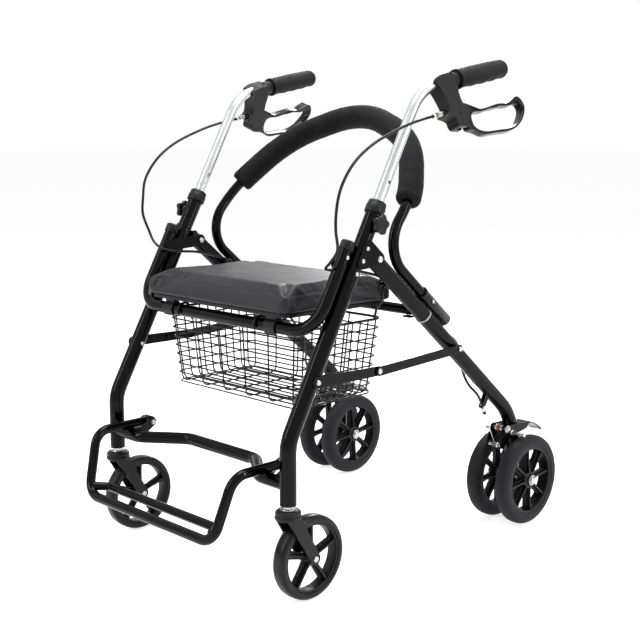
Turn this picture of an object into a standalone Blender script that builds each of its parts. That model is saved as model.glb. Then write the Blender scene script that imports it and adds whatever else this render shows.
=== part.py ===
"""Four-wheeled walker with a padded seat, a wire basket, cable brakes and a folding frame.

Metres, +Z up. The front faces -Y and the user's left is +X. The origin is on the floor,
in the middle of the walker's box.
"""

import math

import bmesh
import bpy
from mathutils import Matrix, Vector

# Driving dimensions. Heights are above the floor, and y is behind the front caster's contact.
LEG_TUBE = 0.0280
TUBE = 0.0222
HANDLE_TUBE = 0.0190
THIN_TUBE = 0.0190
GAP = 0.0003
HALF_TRACK = 0.241

STEM_Y = -0.032
LEG_FOOT_Z = 0.172
LEG_BEND_Z = 0.275
LEG_TOP_Z = 0.640
LEG_LEAN = 28.9
LEG_BEND_R = 0.075
LEG_BORE_DEPTH = 0.270

SEAT_TUBE_AHEAD = 0.028
SEAT_TUBE_TOP_Z = 0.588
SEAT_BAR_Z = 0.446
SEAT_TUBE_BEND_R = 0.050
CAP_LENGTH = 0.018

HINGE_Y = 0.1656
HINGE_Z = 0.5589
HINGE_BOLT = 0.006
PLATE = 0.0025

CASTER_D = 0.146
CASTER_WIDTH = 0.026
CASTER_TRAIL = 0.0455
CASTER_SPOKES = 5
CROWN_D = 0.045
FORK_PLATE = 0.0040
FORK_CLEARANCE = 0.0015
STEM_D = 0.010

REAR_WHEEL_D = 0.180
REAR_WHEEL_WIDTH = 0.029
REAR_WHEEL_OFFSET = 0.035
REAR_SPOKES = 8
REAR_AXLE_Y = 0.5796
REAR_BEND_R = 0.124
REAR_CORNER_Z = 0.20904
AXLE_BOLT = 0.008
HUB_D = 0.034

BRACE_Z = 0.2055
BRACE_WIDE_INSET = 0.0702
BRACE_NARROW_INSET = 0.148
BRACE_REACH = 0.060
EAR_SPACING = 0.028
EAR_PLATE = 0.0025

FOOT_PIVOT_INSET = 0.046
FOOT_PIVOT_Y = 0.008
FOOT_FRONT_Y = -0.1397
FOOT_BAR_Z = 0.117
FOOT_BAR_INSET = 0.063
FOOT_STEP_Y = -0.1087
FOOT_STEP_Z = 0.129
FOOT_TUBE = 0.0175
FOOT_BEND_R = 0.034

STAY_BOLT = 0.006
STAY_PLATE = 0.0030
STAY_WIDTH = 0.020
FRONT_STAY_Z = 0.3695
MID_RIVET_Y = 0.1646
MID_RIVET_Z = 0.3674
REAR_STAY_Y = 0.381

SEAT_WIDTH = 0.398
SEAT_DEPTH = 0.276
SEAT_FRONT_Y = 0.002
SEAT_CUSHION_Z = 0.473
SEAT_THICKNESS = 0.038
SEAT_CROWN = 0.010
SEAT_SIDE_DRAW = 0.007
BOARD = 0.0065
BOARD_INSET = 0.012
REST_TUBE_BELOW = 0.0176
REST_TUBE_INSET = 0.020
TAB_LAP = 0.0252
REST_SHELF = 0.024
REST_THICK = 0.003
REST_REACH = 0.016

BASKET_WIRE = 0.0030
BASKET_RIM_WIRE = 0.0050
BASKET_TOP_INSET = 0.059
BASKET_SIDE_TAPER = 0.016
BASKET_TOP_Z = 0.440
BASKET_BOTTOM_Z = 0.302
BASKET_FRONT_Y = 0.048
BASKET_BACK_Y = 0.258
BASKET_TAPER = 0.010
RING_Y = 0.2246
RING_Z = 0.508
RING_INSET = 0.032
RING_D = 0.0155

HANDLE_CORNER_Z = 0.845
HANDLE_BEND_R = 0.095
HANDLE_RISE = 10.5
HANDLE_TOE = 4.0
HANDLE_INSERT = 0.180
COLLAR_LOW_Z = 0.634
COLLAR_HIGH_Z = 0.654
KNOB_Z = 0.618
KNOB_D = 0.036

GRIP_START = 0.0889
GRIP_LONG = 0.1314
GRIP_D = 0.0365
GRIP_RIBS = 4

LEVER_PIVOT_BEHIND = 0.0653
LEVER_PIVOT_BELOW = 0.0510
LEVER_TILT = 20.0
LEVER_BAND = 0.019
LEVER_TONGUE = 0.009
LEVER_PIN = 0.005
HOUSING_WIDTH = 0.028

BACKREST_TUBE = 0.0190
BACKREST_FOAM = 0.045
BACKREST_TOP_Z = 0.799
BACKREST_BACK_Y = 0.386
BACKREST_OFFSET = 0.027
BACKREST_BEND_R = 0.063
SOCKET_WALL = 0.0022
SOCKET_LENGTH = 0.092

BRAKE_PIVOT_AHEAD = 0.0416
BRAKE_PIVOT_ABOVE = 0.10537
BRAKE_SHOE_CLEAR = 0.0019
BRAKE_SHOE_ABOVE = 0.09577
BRAKE_SHOE_D = 0.0080
BRAKE_CLAMP_AHEAD = 0.0569
BRAKE_CLAMP_ABOVE = 0.07427
PEDAL_TIP_BEHIND = 0.0828
PEDAL_TIP_ABOVE = 0.08047
CRANK_PLATE = 0.0030
CRANK_HALF = 0.0180
BRAKE_EAR_IN = 0.0085
SPRING_D = 0.0190
SPRING_WIRE = 0.0016
SPRING_TURNS = 3
SPRING_PITCH = 0.0023
SPRING_BUSH_GAP = 0.0009
CABLE_D = 0.0050

# What follows from them.
R = LEG_TUBE / 2
FRAME_R = TUBE / 2
LEAN = math.radians(LEG_LEAN)
LEG_DIR = Vector((0, math.sin(LEAN), math.cos(LEAN)))
LEG_BACK = Vector((0, math.cos(LEAN), -math.sin(LEAN)))
DROP = math.atan2(HINGE_Z - REAR_CORNER_Z, REAR_AXLE_Y - HINGE_Y)
REAR_DIR = Vector((0, math.cos(DROP), -math.sin(DROP)))
REAR_UP = Vector((0, math.sin(DROP), math.cos(DROP)))
RISE = math.radians(HANDLE_RISE)
GRIP_DIR = Vector((0, math.cos(RISE), math.sin(RISE)))
HINGE = Vector((0, HINGE_Y, HINGE_Z))
SEAT_TUBE_SHIFT = Vector((0, -SEAT_TUBE_AHEAD / math.cos(LEAN), 0))
CASTER_STEPS = 4 * CASTER_SPOKES
REAR_STEPS = 3 * REAR_SPOKES
CASTER_AXLE_Z = CASTER_D / 2 * math.cos(math.pi / CASTER_STEPS)
REAR_AXLE_Z = REAR_WHEEL_D / 2 * math.cos(math.pi / REAR_STEPS)
CASTER_AXLE_Y = STEM_Y + CASTER_TRAIL
LEG_FACE = HALF_TRACK + R
PLATE_IN = HALF_TRACK - R - GAP
SEAT_TUBE_HALF = PLATE_IN + GAP + FRAME_R
PLATE_OUT = LEG_FACE + GAP
MIDDLE_Y = (FOOT_FRONT_Y - FOOT_TUBE / 2 + REAR_AXLE_Y + REAR_AXLE_Z) / 2
FOOT_PIN = 0.006
FOOT_PIVOT_Z = BRACE_Z + FRAME_R + FOOT_TUBE / 2 + GAP
FOOT_PIVOT_X = HALF_TRACK - FOOT_PIVOT_INSET
FOOT_BAR_HALF = HALF_TRACK - FOOT_BAR_INSET
BRACE_WIDE_X = HALF_TRACK - BRACE_WIDE_INSET
BRACE_NARROW_X = HALF_TRACK - BRACE_NARROW_INSET
BASKET_TOP_HALF = HALF_TRACK - BASKET_TOP_INSET
BASKET_BOTTOM_HALF = BASKET_TOP_HALF - BASKET_SIDE_TAPER
RING_X = HALF_TRACK - RING_INSET
REST_TUBE_HALF = HALF_TRACK - REST_TUBE_INSET
REST_TUBE_Z = SEAT_CUSHION_Z - REST_TUBE_BELOW
REST_TUBE_Y = HINGE_Y + (HINGE_Z - REST_TUBE_Z + 0.0006) / math.tan(DROP)
BRAKE_PIVOT_Y = REAR_AXLE_Y - BRAKE_PIVOT_AHEAD
BRAKE_PIVOT_Z = REAR_AXLE_Z + BRAKE_PIVOT_ABOVE
BRAKE_SHOE_Z = REAR_AXLE_Z + BRAKE_SHOE_ABOVE
BEND_LOW_Z = REAR_CORNER_Z - REAR_BEND_R * math.tan((math.pi / 2 - DROP) / 2)
LEG_FRONT_Y = REAR_AXLE_Y - REAR_BEND_R + math.sqrt((REAR_BEND_R - R) ** 2 - (BRAKE_SHOE_Z - BEND_LOW_Z) ** 2)
BRAKE_SHOE_Y = LEG_FRONT_Y - BRAKE_SHOE_D / 2 - BRAKE_SHOE_CLEAR
BRAKE_CLAMP_Y = REAR_AXLE_Y - BRAKE_CLAMP_AHEAD
BRAKE_CLAMP_Z = REAR_AXLE_Z + BRAKE_CLAMP_ABOVE
PEDAL_TIP_Y = REAR_AXLE_Y + PEDAL_TIP_BEHIND
PEDAL_TIP_Z = REAR_AXLE_Z + PEDAL_TIP_ABOVE
HANDLE_CORNER_Y = STEM_Y + (HANDLE_CORNER_Z - LEG_BEND_Z) * math.tan(LEAN)
GRIP_FRONT_Y = HANDLE_CORNER_Y + GRIP_START
GRIP_BACK_Y = GRIP_FRONT_Y + GRIP_LONG
LEVER_PIVOT_Y = HANDLE_CORNER_Y + LEVER_PIVOT_BEHIND
LEVER_PIVOT_Z = HANDLE_CORNER_Z - LEVER_PIVOT_BELOW
STAY_X = LEG_FACE + GAP
CABLE_STOP_LEG_Y = REAR_AXLE_Y - 0.0838
CABLE_STOP = (CABLE_STOP_LEG_Y - 0.0183, HINGE_Z - (CABLE_STOP_LEG_Y - HINGE_Y) * math.tan(DROP) - 0.0304)
CABLE_TOP = (LEVER_PIVOT_Y - 0.0540, LEVER_PIVOT_Z - 0.0015)
CABLE_TOP_WAY = (0.9, 0.18)
SOCKET_LOW_Y = 0.343
BACKREST_BEND_Y = 0.1748
FOAM_STARTS = {1: 0.34, -1: 0.50}
BASKET_HOOPS = 5
BASKET_ACROSS = 8
BASKET_ALONG = 4
BASKET_CORNER = 0.012
SIDES = {"left": 1, "right": -1}

# The brake cable's route on the user's left, chosen by hand, as steps from the barrel, the hinge, the leg's own line and the stop.
CABLE_FROM_BARREL = [
    (0.0000, -0.0005, -0.0001),
    (0.0003, -0.0345, -0.0068),
    (0.0010, -0.0850, -0.0203),
    (0.0016, -0.1585, -0.0494),
    (0.0020, -0.2009, -0.0793),
    (0.0023, -0.2284, -0.1171),
]
CABLE_PAST_HINGE = [
    (0.0210, -0.1092, 0.0861),
    (0.0210, -0.1106, 0.0561),
    (0.0150, -0.1006, 0.0211),
    (-0.0010, -0.1006, 0.0011),
    (-0.0190, -0.0936, -0.0109),
    (-0.0270, -0.0706, -0.0159),
    (-0.0260, -0.0156, -0.0219),
]
CABLE_ALONG_LEG = [
    (-0.0230, 0.0482, -0.0037),
    (-0.0225, 0.0782, 0.0073),
    (-0.0180, 0.1153, 0.0098),
    (-0.0165, 0.1470, 0.0111),
    (-0.0148, 0.1777, 0.0135),
    (-0.0148, 0.2299, 0.0137),
    (-0.0100, 0.2657, 0.0178),
    (-0.0090, 0.2936, 0.0204),
]
CABLE_TO_STOP = [
    (-0.0150, -0.0535, 0.1085),
    (-0.0205, -0.0375, 0.0725),
    (-0.0160, -0.0225, 0.0425),
    (-0.0030, -0.0125, 0.0245),
    (0.0000, -0.0055, 0.0105),
    (0.0000, 0.0055, -0.0104),
]
CABLE_WIRE = [(0.0060, -0.0114), (0.0125, -0.0238)]
CABLE_WIRE_END = (-0.0027, 0.0052)


def clear_scene():
    for thing in list(bpy.data.objects):
        bpy.data.objects.remove(thing)


def finish(name, colour, roughness, metallic=0.0):
    """A Principled material from an sRGB hex colour."""
    made = bpy.data.materials.new(name)
    made.use_nodes = True
    shader = made.node_tree.nodes["Principled BSDF"]
    parts = [int(colour[i : i + 2], 16) / 255 for i in (0, 2, 4)]
    linear = [c / 12.92 if c <= 0.04045 else ((c + 0.055) / 1.055) ** 2.4 for c in parts]
    shader.inputs["Base Color"].default_value = (*linear, 1)
    shader.inputs["Roughness"].default_value = roughness
    shader.inputs["Metallic"].default_value = metallic
    return made


# Geometry helpers.
def leg_at(z, behind=0.0):
    """The point of the slanted leg's axis at height z, moved square to it by behind."""
    along = (z - LEG_BEND_Z) / LEG_DIR.z
    return Vector((0, STEM_Y, LEG_BEND_Z)) + LEG_DIR * along + LEG_BACK * behind


def rear_leg_at(y, above=0.0):
    """The point of the rear leg's straight axis at y, moved square to it by above."""
    return HINGE + REAR_DIR * ((y - HINGE_Y) / REAR_DIR.y) + REAR_UP * above


def bent(corners, radii, turn=18):
    """Points of a tube's axis: straight runs joined by arcs at the inner corners."""
    corners = [Vector(c) for c in corners]
    points = [corners[0]]
    for before, corner, after, radius in zip(corners, corners[1:], corners[2:], radii):
        back = (before - corner).normalized()
        ahead = (after - corner).normalized()
        bend = math.pi - back.angle(ahead)
        centre = corner + (back + ahead).normalized() * (radius / math.cos(bend / 2))
        first = corner + back * (radius * math.tan(bend / 2)) - centre
        last = corner + ahead * (radius * math.tan(bend / 2)) - centre
        axis = first.cross(last).normalized()
        steps = max(2, math.ceil(math.degrees(bend) / turn))
        for i in range(steps + 1):
            points.append(centre + Matrix.Rotation(bend * i / steps, 3, axis) @ first)
    points.append(corners[-1])
    return points


def ring(centre, side, up, radius, sides):
    turns = [2 * math.pi * (i + 0.5) / sides for i in range(sides)]
    return [centre + (side * math.cos(t) + up * math.sin(t)) * radius for t in turns]


def skin(rings, loop=False):
    """A closed mesh through rings of equal size: capped ends, or a loop back to the first."""
    mesh = bmesh.new()
    rows = [[mesh.verts.new(p) for p in row] for row in rings]
    pairs = list(zip(rows, rows[1:]))
    if loop:
        pairs.append((rows[-1], rows[0]))
    for low, high in pairs:
        for i in range(len(low)):
            j = (i + 1) % len(low)
            mesh.faces.new((low[i], low[j], high[j], high[i]))
    if not loop:
        mesh.faces.new(list(reversed(rows[0])))
        mesh.faces.new(rows[-1])
    bmesh.ops.recalc_face_normals(mesh, faces=mesh.faces)
    return mesh


def snug(radius, sides, clearance=GAP):
    """The corner radius of a bore whose flats clear a round of that radius."""
    return (radius + clearance) / math.cos(math.pi / sides)


def tube(points, radius, sides=10, bore_start=None, bore_end=None):
    """A tube along points. A bore is (radius, depth) from that end."""
    points = [Vector(p) for p in points]
    ways = [(b - a).normalized() for a, b in zip(points, points[1:])]
    tangents = [ways[0]] + [(a + b).normalized() for a, b in zip(ways, ways[1:])] + [ways[-1]]
    first = Vector((1, 0, 0)) if abs(tangents[0].x) < 0.7 else Vector((0, 1, 0))
    side = (first - tangents[0] * first.dot(tangents[0])).normalized()
    rings = []
    frames = []
    for i, (point, tangent) in enumerate(zip(points, tangents)):
        side = (side - tangent * side.dot(tangent)).normalized()
        wide = 1.0
        if 0 < i < len(points) - 1:
            wide = 1 / max(0.5, ways[i - 1].dot(tangent))
        frames.append((side, tangent.cross(side)))
        rings.append(ring(point, *frames[-1], radius * wide ** 0.5, sides))
    if bore_start:
        bore, depth = bore_start
        inner = [points[0] + tangents[0] * depth, points[0]]
        rings = [ring(p, *frames[0], bore, sides) for p in inner] + rings
    if bore_end:
        bore, depth = bore_end
        inner = [points[-1], points[-1] - tangents[-1] * depth]
        rings = rings + [ring(p, *frames[-1], bore, sides) for p in inner]
    return skin(rings)


def turned(profile, origin, axis, steps=16, loop=False):
    """A turned body from (distance along the axis, radius) points."""
    axis = Vector(axis).normalized()
    first = Vector((0, 0, 1)) if abs(axis.z) < 0.7 else Vector((1, 0, 0))
    up = (first - axis * first.dot(axis)).normalized()
    side = up.cross(axis)
    rings = [ring(Vector(origin) + axis * a, up, side, r, steps) for a, r in profile]
    return skin(rings, loop)


def rod(start, end, radius, steps=8):
    start, end = Vector(start), Vector(end)
    return turned([(0, radius), ((end - start).length, radius)], start, end - start, steps)


def plate(outline, low, high):
    """A plate in the YZ plane, from x low to x high."""
    low, high = min(low, high), max(low, high)
    rings = [[Vector((x, p[0], p[1])) for p in outline] for x in (low, high)]
    return skin(rings)


def hull(circles, steps=10):
    """The convex outline round circles of (y, z, radius)."""
    dots = set()
    for y, z, radius in circles:
        for i in range(steps):
            turn = 2 * math.pi * i / steps
            dots.add((round(y + radius * math.cos(turn), 7), round(z + radius * math.sin(turn), 7)))
    dots = sorted(dots)

    def half(points):
        line = []
        for p in points:
            while len(line) > 1:
                (ay, az), (by, bz) = line[-2], line[-1]
                if (by - ay) * (p[1] - az) - (bz - az) * (p[0] - ay) > 1e-10:
                    break
                line.pop()
            line.append(p)
        return line[:-1]

    return half(dots) + half(dots[::-1])


def smooth_loop(points, radius, turn=45):
    """A closed outline with each corner rounded to radius, as (y, z) points."""
    count = len(points)
    made = []
    for i in range(count):
        before, corner, after = (Vector((0, *points[(i + k) % count])) for k in (-1, 0, 1))
        room = min((before - corner).length, (after - corner).length) * 0.45
        back, ahead = (before - corner).normalized(), (after - corner).normalized()
        bend = math.pi - back.angle(ahead)
        if bend < 0.05:
            made.append((corner.y, corner.z))
            continue
        fit = min(radius, room / math.tan(bend / 2))
        arc = bent([corner + back * room, corner, corner + ahead * room], [fit], turn)
        made += [(p.y, p.z) for p in arc[1:-1]]
    return made


def add(name, mesh, material=None, origin=(0, 0, 0), parent=None):
    """An object from a mesh built in the walker's own coordinates, with its origin put at origin."""
    origin = Vector(origin)
    bmesh.ops.translate(mesh, verts=mesh.verts, vec=-origin)
    data = bpy.data.meshes.new(name)
    mesh.to_mesh(data)
    mesh.free()
    data.shade_smooth()
    data.set_sharp_from_angle(angle=math.radians(40))
    made = bpy.data.objects.new(name, data)
    bpy.context.scene.collection.objects.link(made)
    made.parent = parent or WALKER
    made.location = origin - PLACES.get(made.parent.name, Vector())
    if material:
        data.materials.append(material)
    return made


def tool(name, mesh, parent=None):
    """A hidden body that is joined to, or cut from, a piece."""
    made = add(name, mesh, parent=parent)
    made.hide_render = True
    made.display_type = "WIRE"
    return made


def shape(piece, operation, meshes):
    for i, mesh in enumerate(meshes):
        body = tool(f"{piece.name}_{operation.lower()}_{i}", mesh)
        modifier = piece.modifiers.new(body.name, "BOOLEAN")
        modifier.operation = operation
        modifier.solver = "EXACT"
        modifier.object = body


def fuse(piece, *meshes):
    shape(piece, "UNION", meshes)


def cut(piece, *meshes):
    shape(piece, "DIFFERENCE", meshes)


def joint_empty(name, place, parent=None):
    made = bpy.data.objects.new(name, None)
    bpy.context.scene.collection.objects.link(made)
    place = Vector(place)
    if parent:
        made.parent = parent
    made.location = place - PLACES.get(parent.name if parent else "", Vector())
    PLACES[name] = place
    return made


def at_x(x, point):
    return Vector((x, point[1], point[2]))


def handle_turn(sign, tilt=0.0):
    """How a handle stands: its grip toed out about the leg, and the lever tilted about the grip."""
    centre = Matrix.Translation(at_x(sign * HALF_TRACK, leg_at(HANDLE_CORNER_Z)))
    toe = Matrix.Rotation(-sign * math.radians(HANDLE_TOE), 4, LEG_DIR)
    return centre @ toe @ Matrix.Rotation(-sign * math.radians(tilt), 4, GRIP_DIR) @ centre.inverted()


def tilted(mesh, sign):
    """A mesh built upright, turned to where the lever and its mount stand."""
    bmesh.ops.transform(mesh, matrix=handle_turn(sign, LEVER_TILT), verts=mesh.verts)
    return mesh


# Front frame.
def front_leg(side, sign):
    x = sign * HALF_TRACK
    corners = [(x, STEM_Y, LEG_FOOT_Z), (x, STEM_Y, LEG_BEND_Z), at_x(x, leg_at(LEG_TOP_Z))]
    mesh = tube(
        bent(corners, [LEG_BEND_R], 10),
        R,
        bore_start=(snug(STEM_D / 2, 10), 0.032),
        bore_end=(snug(HANDLE_TUBE / 2, 10), LEG_BORE_DEPTH),
    )
    leg = add(f"{side}_front_leg", mesh, BLACK_FRAME)
    hole = leg_at(FRONT_STAY_Z)
    reach = Vector((2 * R, 0, 0))
    cut(leg, rod(at_x(x, hole) - reach, at_x(x, hole) + reach, snug(STAY_BOLT / 2, 8)))
    knob = at_x(x, leg_at(KNOB_Z))
    cut(leg, rod(knob, knob + reach * sign, snug(STAY_BOLT / 2, 8)))


def seat_front_tube():
    arm = leg_at(SEAT_TUBE_TOP_Z) + SEAT_TUBE_SHIFT
    bar = arm - LEG_DIR * ((SEAT_TUBE_TOP_Z - SEAT_BAR_Z) / LEG_DIR.z)
    corners = [at_x(x, p) for x, p in ((-1, arm), (-1, bar), (1, bar), (1, arm))]
    for corner in corners:
        corner.x *= SEAT_TUBE_HALF
    path = bent(corners, [SEAT_TUBE_BEND_R] * 2)
    add("seat_front_tube", tube(path, FRAME_R), BLACK_FRAME)
    for side, sign in SIDES.items():
        top = at_x(sign * SEAT_TUBE_HALF, arm)
        base = -CAP_LENGTH * 0.72
        bore = snug(FRAME_R, 12)
        wall = bore + 0.0013
        profile = [(GAP, 0.004), (GAP, bore), (base, bore), (base, wall), (0.0015, wall), (0.0040, wall * 0.72)]
        add(f"{side}_tube_cap", turned(profile, top, LEG_DIR, 12), BLACK_PLASTIC)
    return bar


def lower_brace():
    inner = HALF_TRACK - R - GAP
    back = STEM_Y + BRACE_REACH
    corners = [
        (inner, STEM_Y, BRACE_Z),
        (BRACE_WIDE_X, STEM_Y, BRACE_Z),
        (BRACE_NARROW_X, back, BRACE_Z),
    ]
    path = corners + [(-x, y, z) for x, y, z in reversed(corners)]
    brace = add("lower_brace", tube(bent(path, [0.035] * 4, 18), FRAME_R), BLACK_FRAME)
    ears = []
    for sign in SIDES.values():
        for edge in (-1, 1):
            x = sign * FOOT_PIVOT_X + edge * EAR_SPACING / 2
            thick = edge * EAR_PLATE
            outline = hull(
                [
                    (FOOT_PIVOT_Y, FOOT_PIVOT_Z, 0.0075),
                    (STEM_Y + 0.002, BRACE_Z + 0.004, 0.0065),
                    (STEM_Y + 0.004, BRACE_Z - 0.006, 0.0045),
                ]
            )
            ears.append((outline, x, x + thick))
    fuse(brace, *[plate(*ear) for ear in ears])
    hole = snug(FOOT_PIN / 2, 8)
    for sign in SIDES.values():
        x = sign * FOOT_PIVOT_X
        cut(brace, rod((x - 0.02, FOOT_PIVOT_Y, FOOT_PIVOT_Z), (x + 0.02, FOOT_PIVOT_Y, FOOT_PIVOT_Z), hole))


def collar(side, sign):
    """A clamp ring round the leg's top, through which the handle tube slides."""
    foot = at_x(sign * HALF_TRACK, leg_at(COLLAR_LOW_Z))
    step = (LEG_TOP_Z - COLLAR_LOW_Z) / LEG_DIR.z
    high = (COLLAR_HIGH_Z - COLLAR_LOW_Z) / LEG_DIR.z
    slide = snug(HANDLE_TUBE / 2, 12)
    fit = snug(R, 12)
    profile = [
        (0, fit),
        (0, fit + 0.0018),
        (0.0015, fit + 0.0028),
        (high * 0.55, fit + 0.0028),
        (high - 0.002, fit + 0.0014),
        (high, fit),
        (high, slide),
        (step + GAP, slide),
        (step + GAP, fit),
    ]
    add(f"{side}_height_collar", turned(profile, foot, LEG_DIR, 12, loop=True), BLACK_PLASTIC)


def hinge_bracket(side, sign):
    """The folded plate that carries the rear leg, with a strap down to the basket's ring."""
    high = leg_at(HINGE_Z + 0.026)
    low = leg_at(HINGE_Z - 0.004)
    arm = leg_at(HINGE_Z - 0.004) + SEAT_TUBE_SHIFT
    cheek = [(HINGE_Y, HINGE_Z, 0.0115), (high.y, high.z, 0.009), (low.y, low.z, 0.010)]
    inner = sign * PLATE_IN
    outer = sign * PLATE_OUT
    bracket = add(
        f"{side}_hinge_bracket",
        plate(hull(cheek), outer, outer + sign * PLATE),
        BLACK_FRAME,
    )
    web_out = R + GAP
    corners = [leg_at(z, web_out + t) for z, t in ((low.z, 0), (high.z, 0), (high.z, PLATE), (low.z, PLATE))]
    web = plate([(p.y, p.z) for p in corners], inner - sign * PLATE / 2, outer + sign * PLATE / 2)
    strap = hull([(HINGE_Y, HINGE_Z, 0.0085), (RING_Y, RING_Z, 0.0065)])
    ahead = hull([(HINGE_Y, HINGE_Z, 0.0115), (arm.y, arm.z, 0.009), (low.y, low.z, 0.010)])
    pin_end = sign * (RING_X - 0.004)
    meshes = [
        web,
        plate(ahead, inner - sign * PLATE, inner),
        plate(strap, inner - sign * PLATE * 0.9, inner - sign * PLATE * 0.1),
        rod((inner - sign * PLATE / 2, RING_Y, RING_Z), (pin_end, RING_Y, RING_Z), 0.0030),
        rod((pin_end, RING_Y, RING_Z), (pin_end - sign * 0.0025, RING_Y, RING_Z), 0.0052, 10),
    ]
    for z in (high.z - 0.006, low.z + 0.004):
        spot = leg_at(z)
        meshes.append(rod(at_x(outer + sign * PLATE / 2, spot), at_x(outer + sign * (PLATE + 0.002), spot), 0.0038))
    fuse(bracket, *meshes)
    reach = Vector((0.03, 0, 0))
    place = Vector((sign * HALF_TRACK, HINGE_Y, HINGE_Z))
    cut(bracket, rod(place - reach, place + reach, snug(HINGE_BOLT / 2, 8)))


def cross_bolt(name, x, place, low, high, diameter, head=0.0048, parent=None, thick=0.0035):
    """A bolt along x with a round head at high and a nut at low, both outside the grip."""
    way = 1 if high > low else -1
    shank = diameter / 2
    grip = abs(high - low)
    profile = [
        (-thick - GAP, head * 0.85),
        (-GAP, head),
        (-GAP, shank),
        (grip + GAP, shank),
        (grip + GAP, head),
        (grip + GAP + thick, head * 0.7),
    ]
    start = Vector((x + low, place[1], place[2]))
    return add(name, turned(profile, start, (way, 0, 0), 8), STEEL, start, parent)


def knob(side, sign):
    """The five-lobed clamping knob, whose screw enters the leg's outer wall."""
    centre = at_x(sign * (LEG_FACE + GAP), leg_at(KNOB_Z))
    lobes = []
    steps = 25
    for i in range(steps):
        turn = 2 * math.pi * i / steps
        radius = KNOB_D / 2 * (0.88 + 0.12 * math.cos(5 * turn))
        lobes.append((centre.y + radius * math.cos(turn), centre.z + radius * math.sin(turn)))
    low, high = centre.x + sign * 0.006, centre.x + sign * 0.0165
    star = add(f"{side}_height_knob", plate(lobes, low, high), BLACK_PLASTIC, centre)
    neck = [(0, 0.0062), (0.0062, 0.0085), (0.010, 0.0085)]
    tip = rod(centre - Vector((sign * 0.0016, 0, 0)), centre + Vector((sign * 0.004, 0, 0)), STAY_BOLT / 2)
    fuse(star, turned(neck, centre, (sign, 0, 0), 12), tip)


# Casters.
def caster(side, sign):
    x = sign * HALF_TRACK
    stem = (x, STEM_Y, LEG_FOOT_Z)
    swivel = joint_empty(f"{side}_caster_swivel", (x, STEM_Y, 0), WALKER)
    top = LEG_FOOT_Z
    crown_r = CROWN_D / 2
    crown_low = CASTER_D + 0.0025
    profile = [
        (crown_low, crown_r - 0.002),
        (crown_low + 0.003, crown_r),
        (crown_low + 0.006, crown_r),
        (crown_low + 0.0075, crown_r - 0.002),
        (crown_low + 0.0095, crown_r - 0.001),
        (crown_low + 0.0135, crown_r - 0.0015),
        (crown_low + 0.0165, crown_r - 0.0065),
        (top - 0.0055, 0.0085),
        (top - GAP, 0.0085),
        (top - GAP, STEM_D / 2),
        (top + 0.028, STEM_D / 2),
    ]
    fork = add(f"{side}_caster_fork", turned(profile, (x, STEM_Y, 0), (0, 0, 1), 12), BLACK_PLASTIC, (x, STEM_Y, 0), swivel)
    inside = CASTER_WIDTH / 2 + FORK_CLEARANCE
    arm = [
        (CASTER_AXLE_Y, CASTER_AXLE_Z, 0.0105),
        (STEM_Y - 0.010, crown_low + 0.002, 0.0045),
        (STEM_Y + 0.0085, crown_low + 0.002, 0.0045),
        (STEM_Y + 0.016, CASTER_AXLE_Z + 0.036, 0.004),
    ]
    arms = [plate(hull(arm), x + edge * inside, x + edge * (inside + FORK_PLATE)) for edge in (-1, 1)]
    outer = inside + FORK_PLATE
    deck_low = crown_low - 0.0005
    deck = plate(
        [
            (STEM_Y - 0.014, deck_low),
            (STEM_Y + 0.0125, deck_low),
            (STEM_Y + 0.0125, crown_low + 0.003),
            (STEM_Y - 0.014, crown_low + 0.003),
        ],
        x - outer + 0.001,
        x + outer - 0.001,
    )
    axle_r = STAY_BOLT / 2
    axle = [
        (-outer - 0.0020, axle_r * 1.3),
        (-outer + 0.001, axle_r * 1.6),
        (-outer + 0.001, axle_r),
        (outer - 0.001, axle_r),
        (outer - 0.001, axle_r * 1.6),
        (outer + 0.0020, axle_r * 1.3),
    ]
    fuse(fork, *arms, deck, turned(axle, (x, CASTER_AXLE_Y, CASTER_AXLE_Z), (1, 0, 0), 10))
    wheel(
        f"{side}_caster_wheel",
        (x, CASTER_AXLE_Y, CASTER_AXLE_Z),
        CASTER_D,
        CASTER_WIDTH,
        CASTER_SPOKES,
        CASTER_STEPS,
        axle_r,
        0.026,
        0.013,
        swivel,
        0.5,
    )


def wheel(name, centre, diameter, width, spokes, steps, axle_r, hub_d, depth, parent, crown):
    """Tyre, spokes and bored hub in one moulding. The tread's flat middle meets the floor."""
    centre = Vector(centre)
    radius = diameter / 2
    half = width / 2
    rim_r = radius - depth
    tyre = [
        (-half, rim_r),
        (-half * 0.92, radius - depth * 0.22 * (1 + crown)),
        (-half * (0.72 - crown * 0.3), radius),
        (half * (0.72 - crown * 0.3), radius),
        (half * 0.92, radius - depth * 0.22 * (1 + crown)),
        (half, rim_r),
    ]
    made = add(name, turned(tyre, centre, (1, 0, 0), steps, loop=True), RUBBER, centre, parent)
    hub_half = half - 0.0005
    bore = snug(axle_r, 2 * spokes)
    hub = [
        (-hub_half, bore),
        (-hub_half, hub_d * 0.42),
        (0, hub_d / 2),
        (hub_half, hub_d * 0.42),
        (hub_half, bore),
    ]
    arms = []
    for i in range(spokes):
        turn = 2 * math.pi * i / spokes + math.pi / 2
        out = Vector((0, math.cos(turn), math.sin(turn)))
        across = Vector((0, -math.sin(turn), math.cos(turn)))
        rows = []
        for reach, wide, thick in (
            (hub_d * 0.36, 0.0046, half * 0.66),
            (rim_r + 0.002, 0.0056, half * 0.50),
        ):
            base = centre + out * reach
            rows.append(
                [
                    base + across * wide * a + Vector((thick * b, 0, 0))
                    for a, b in ((-1, -1), (1, -1), (1, 1), (-1, 1))
                ]
            )
        arms.append(skin(rows))
    fuse(made, turned(hub, centre, (1, 0, 0), 2 * spokes, loop=True), *arms)
    return made


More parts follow.
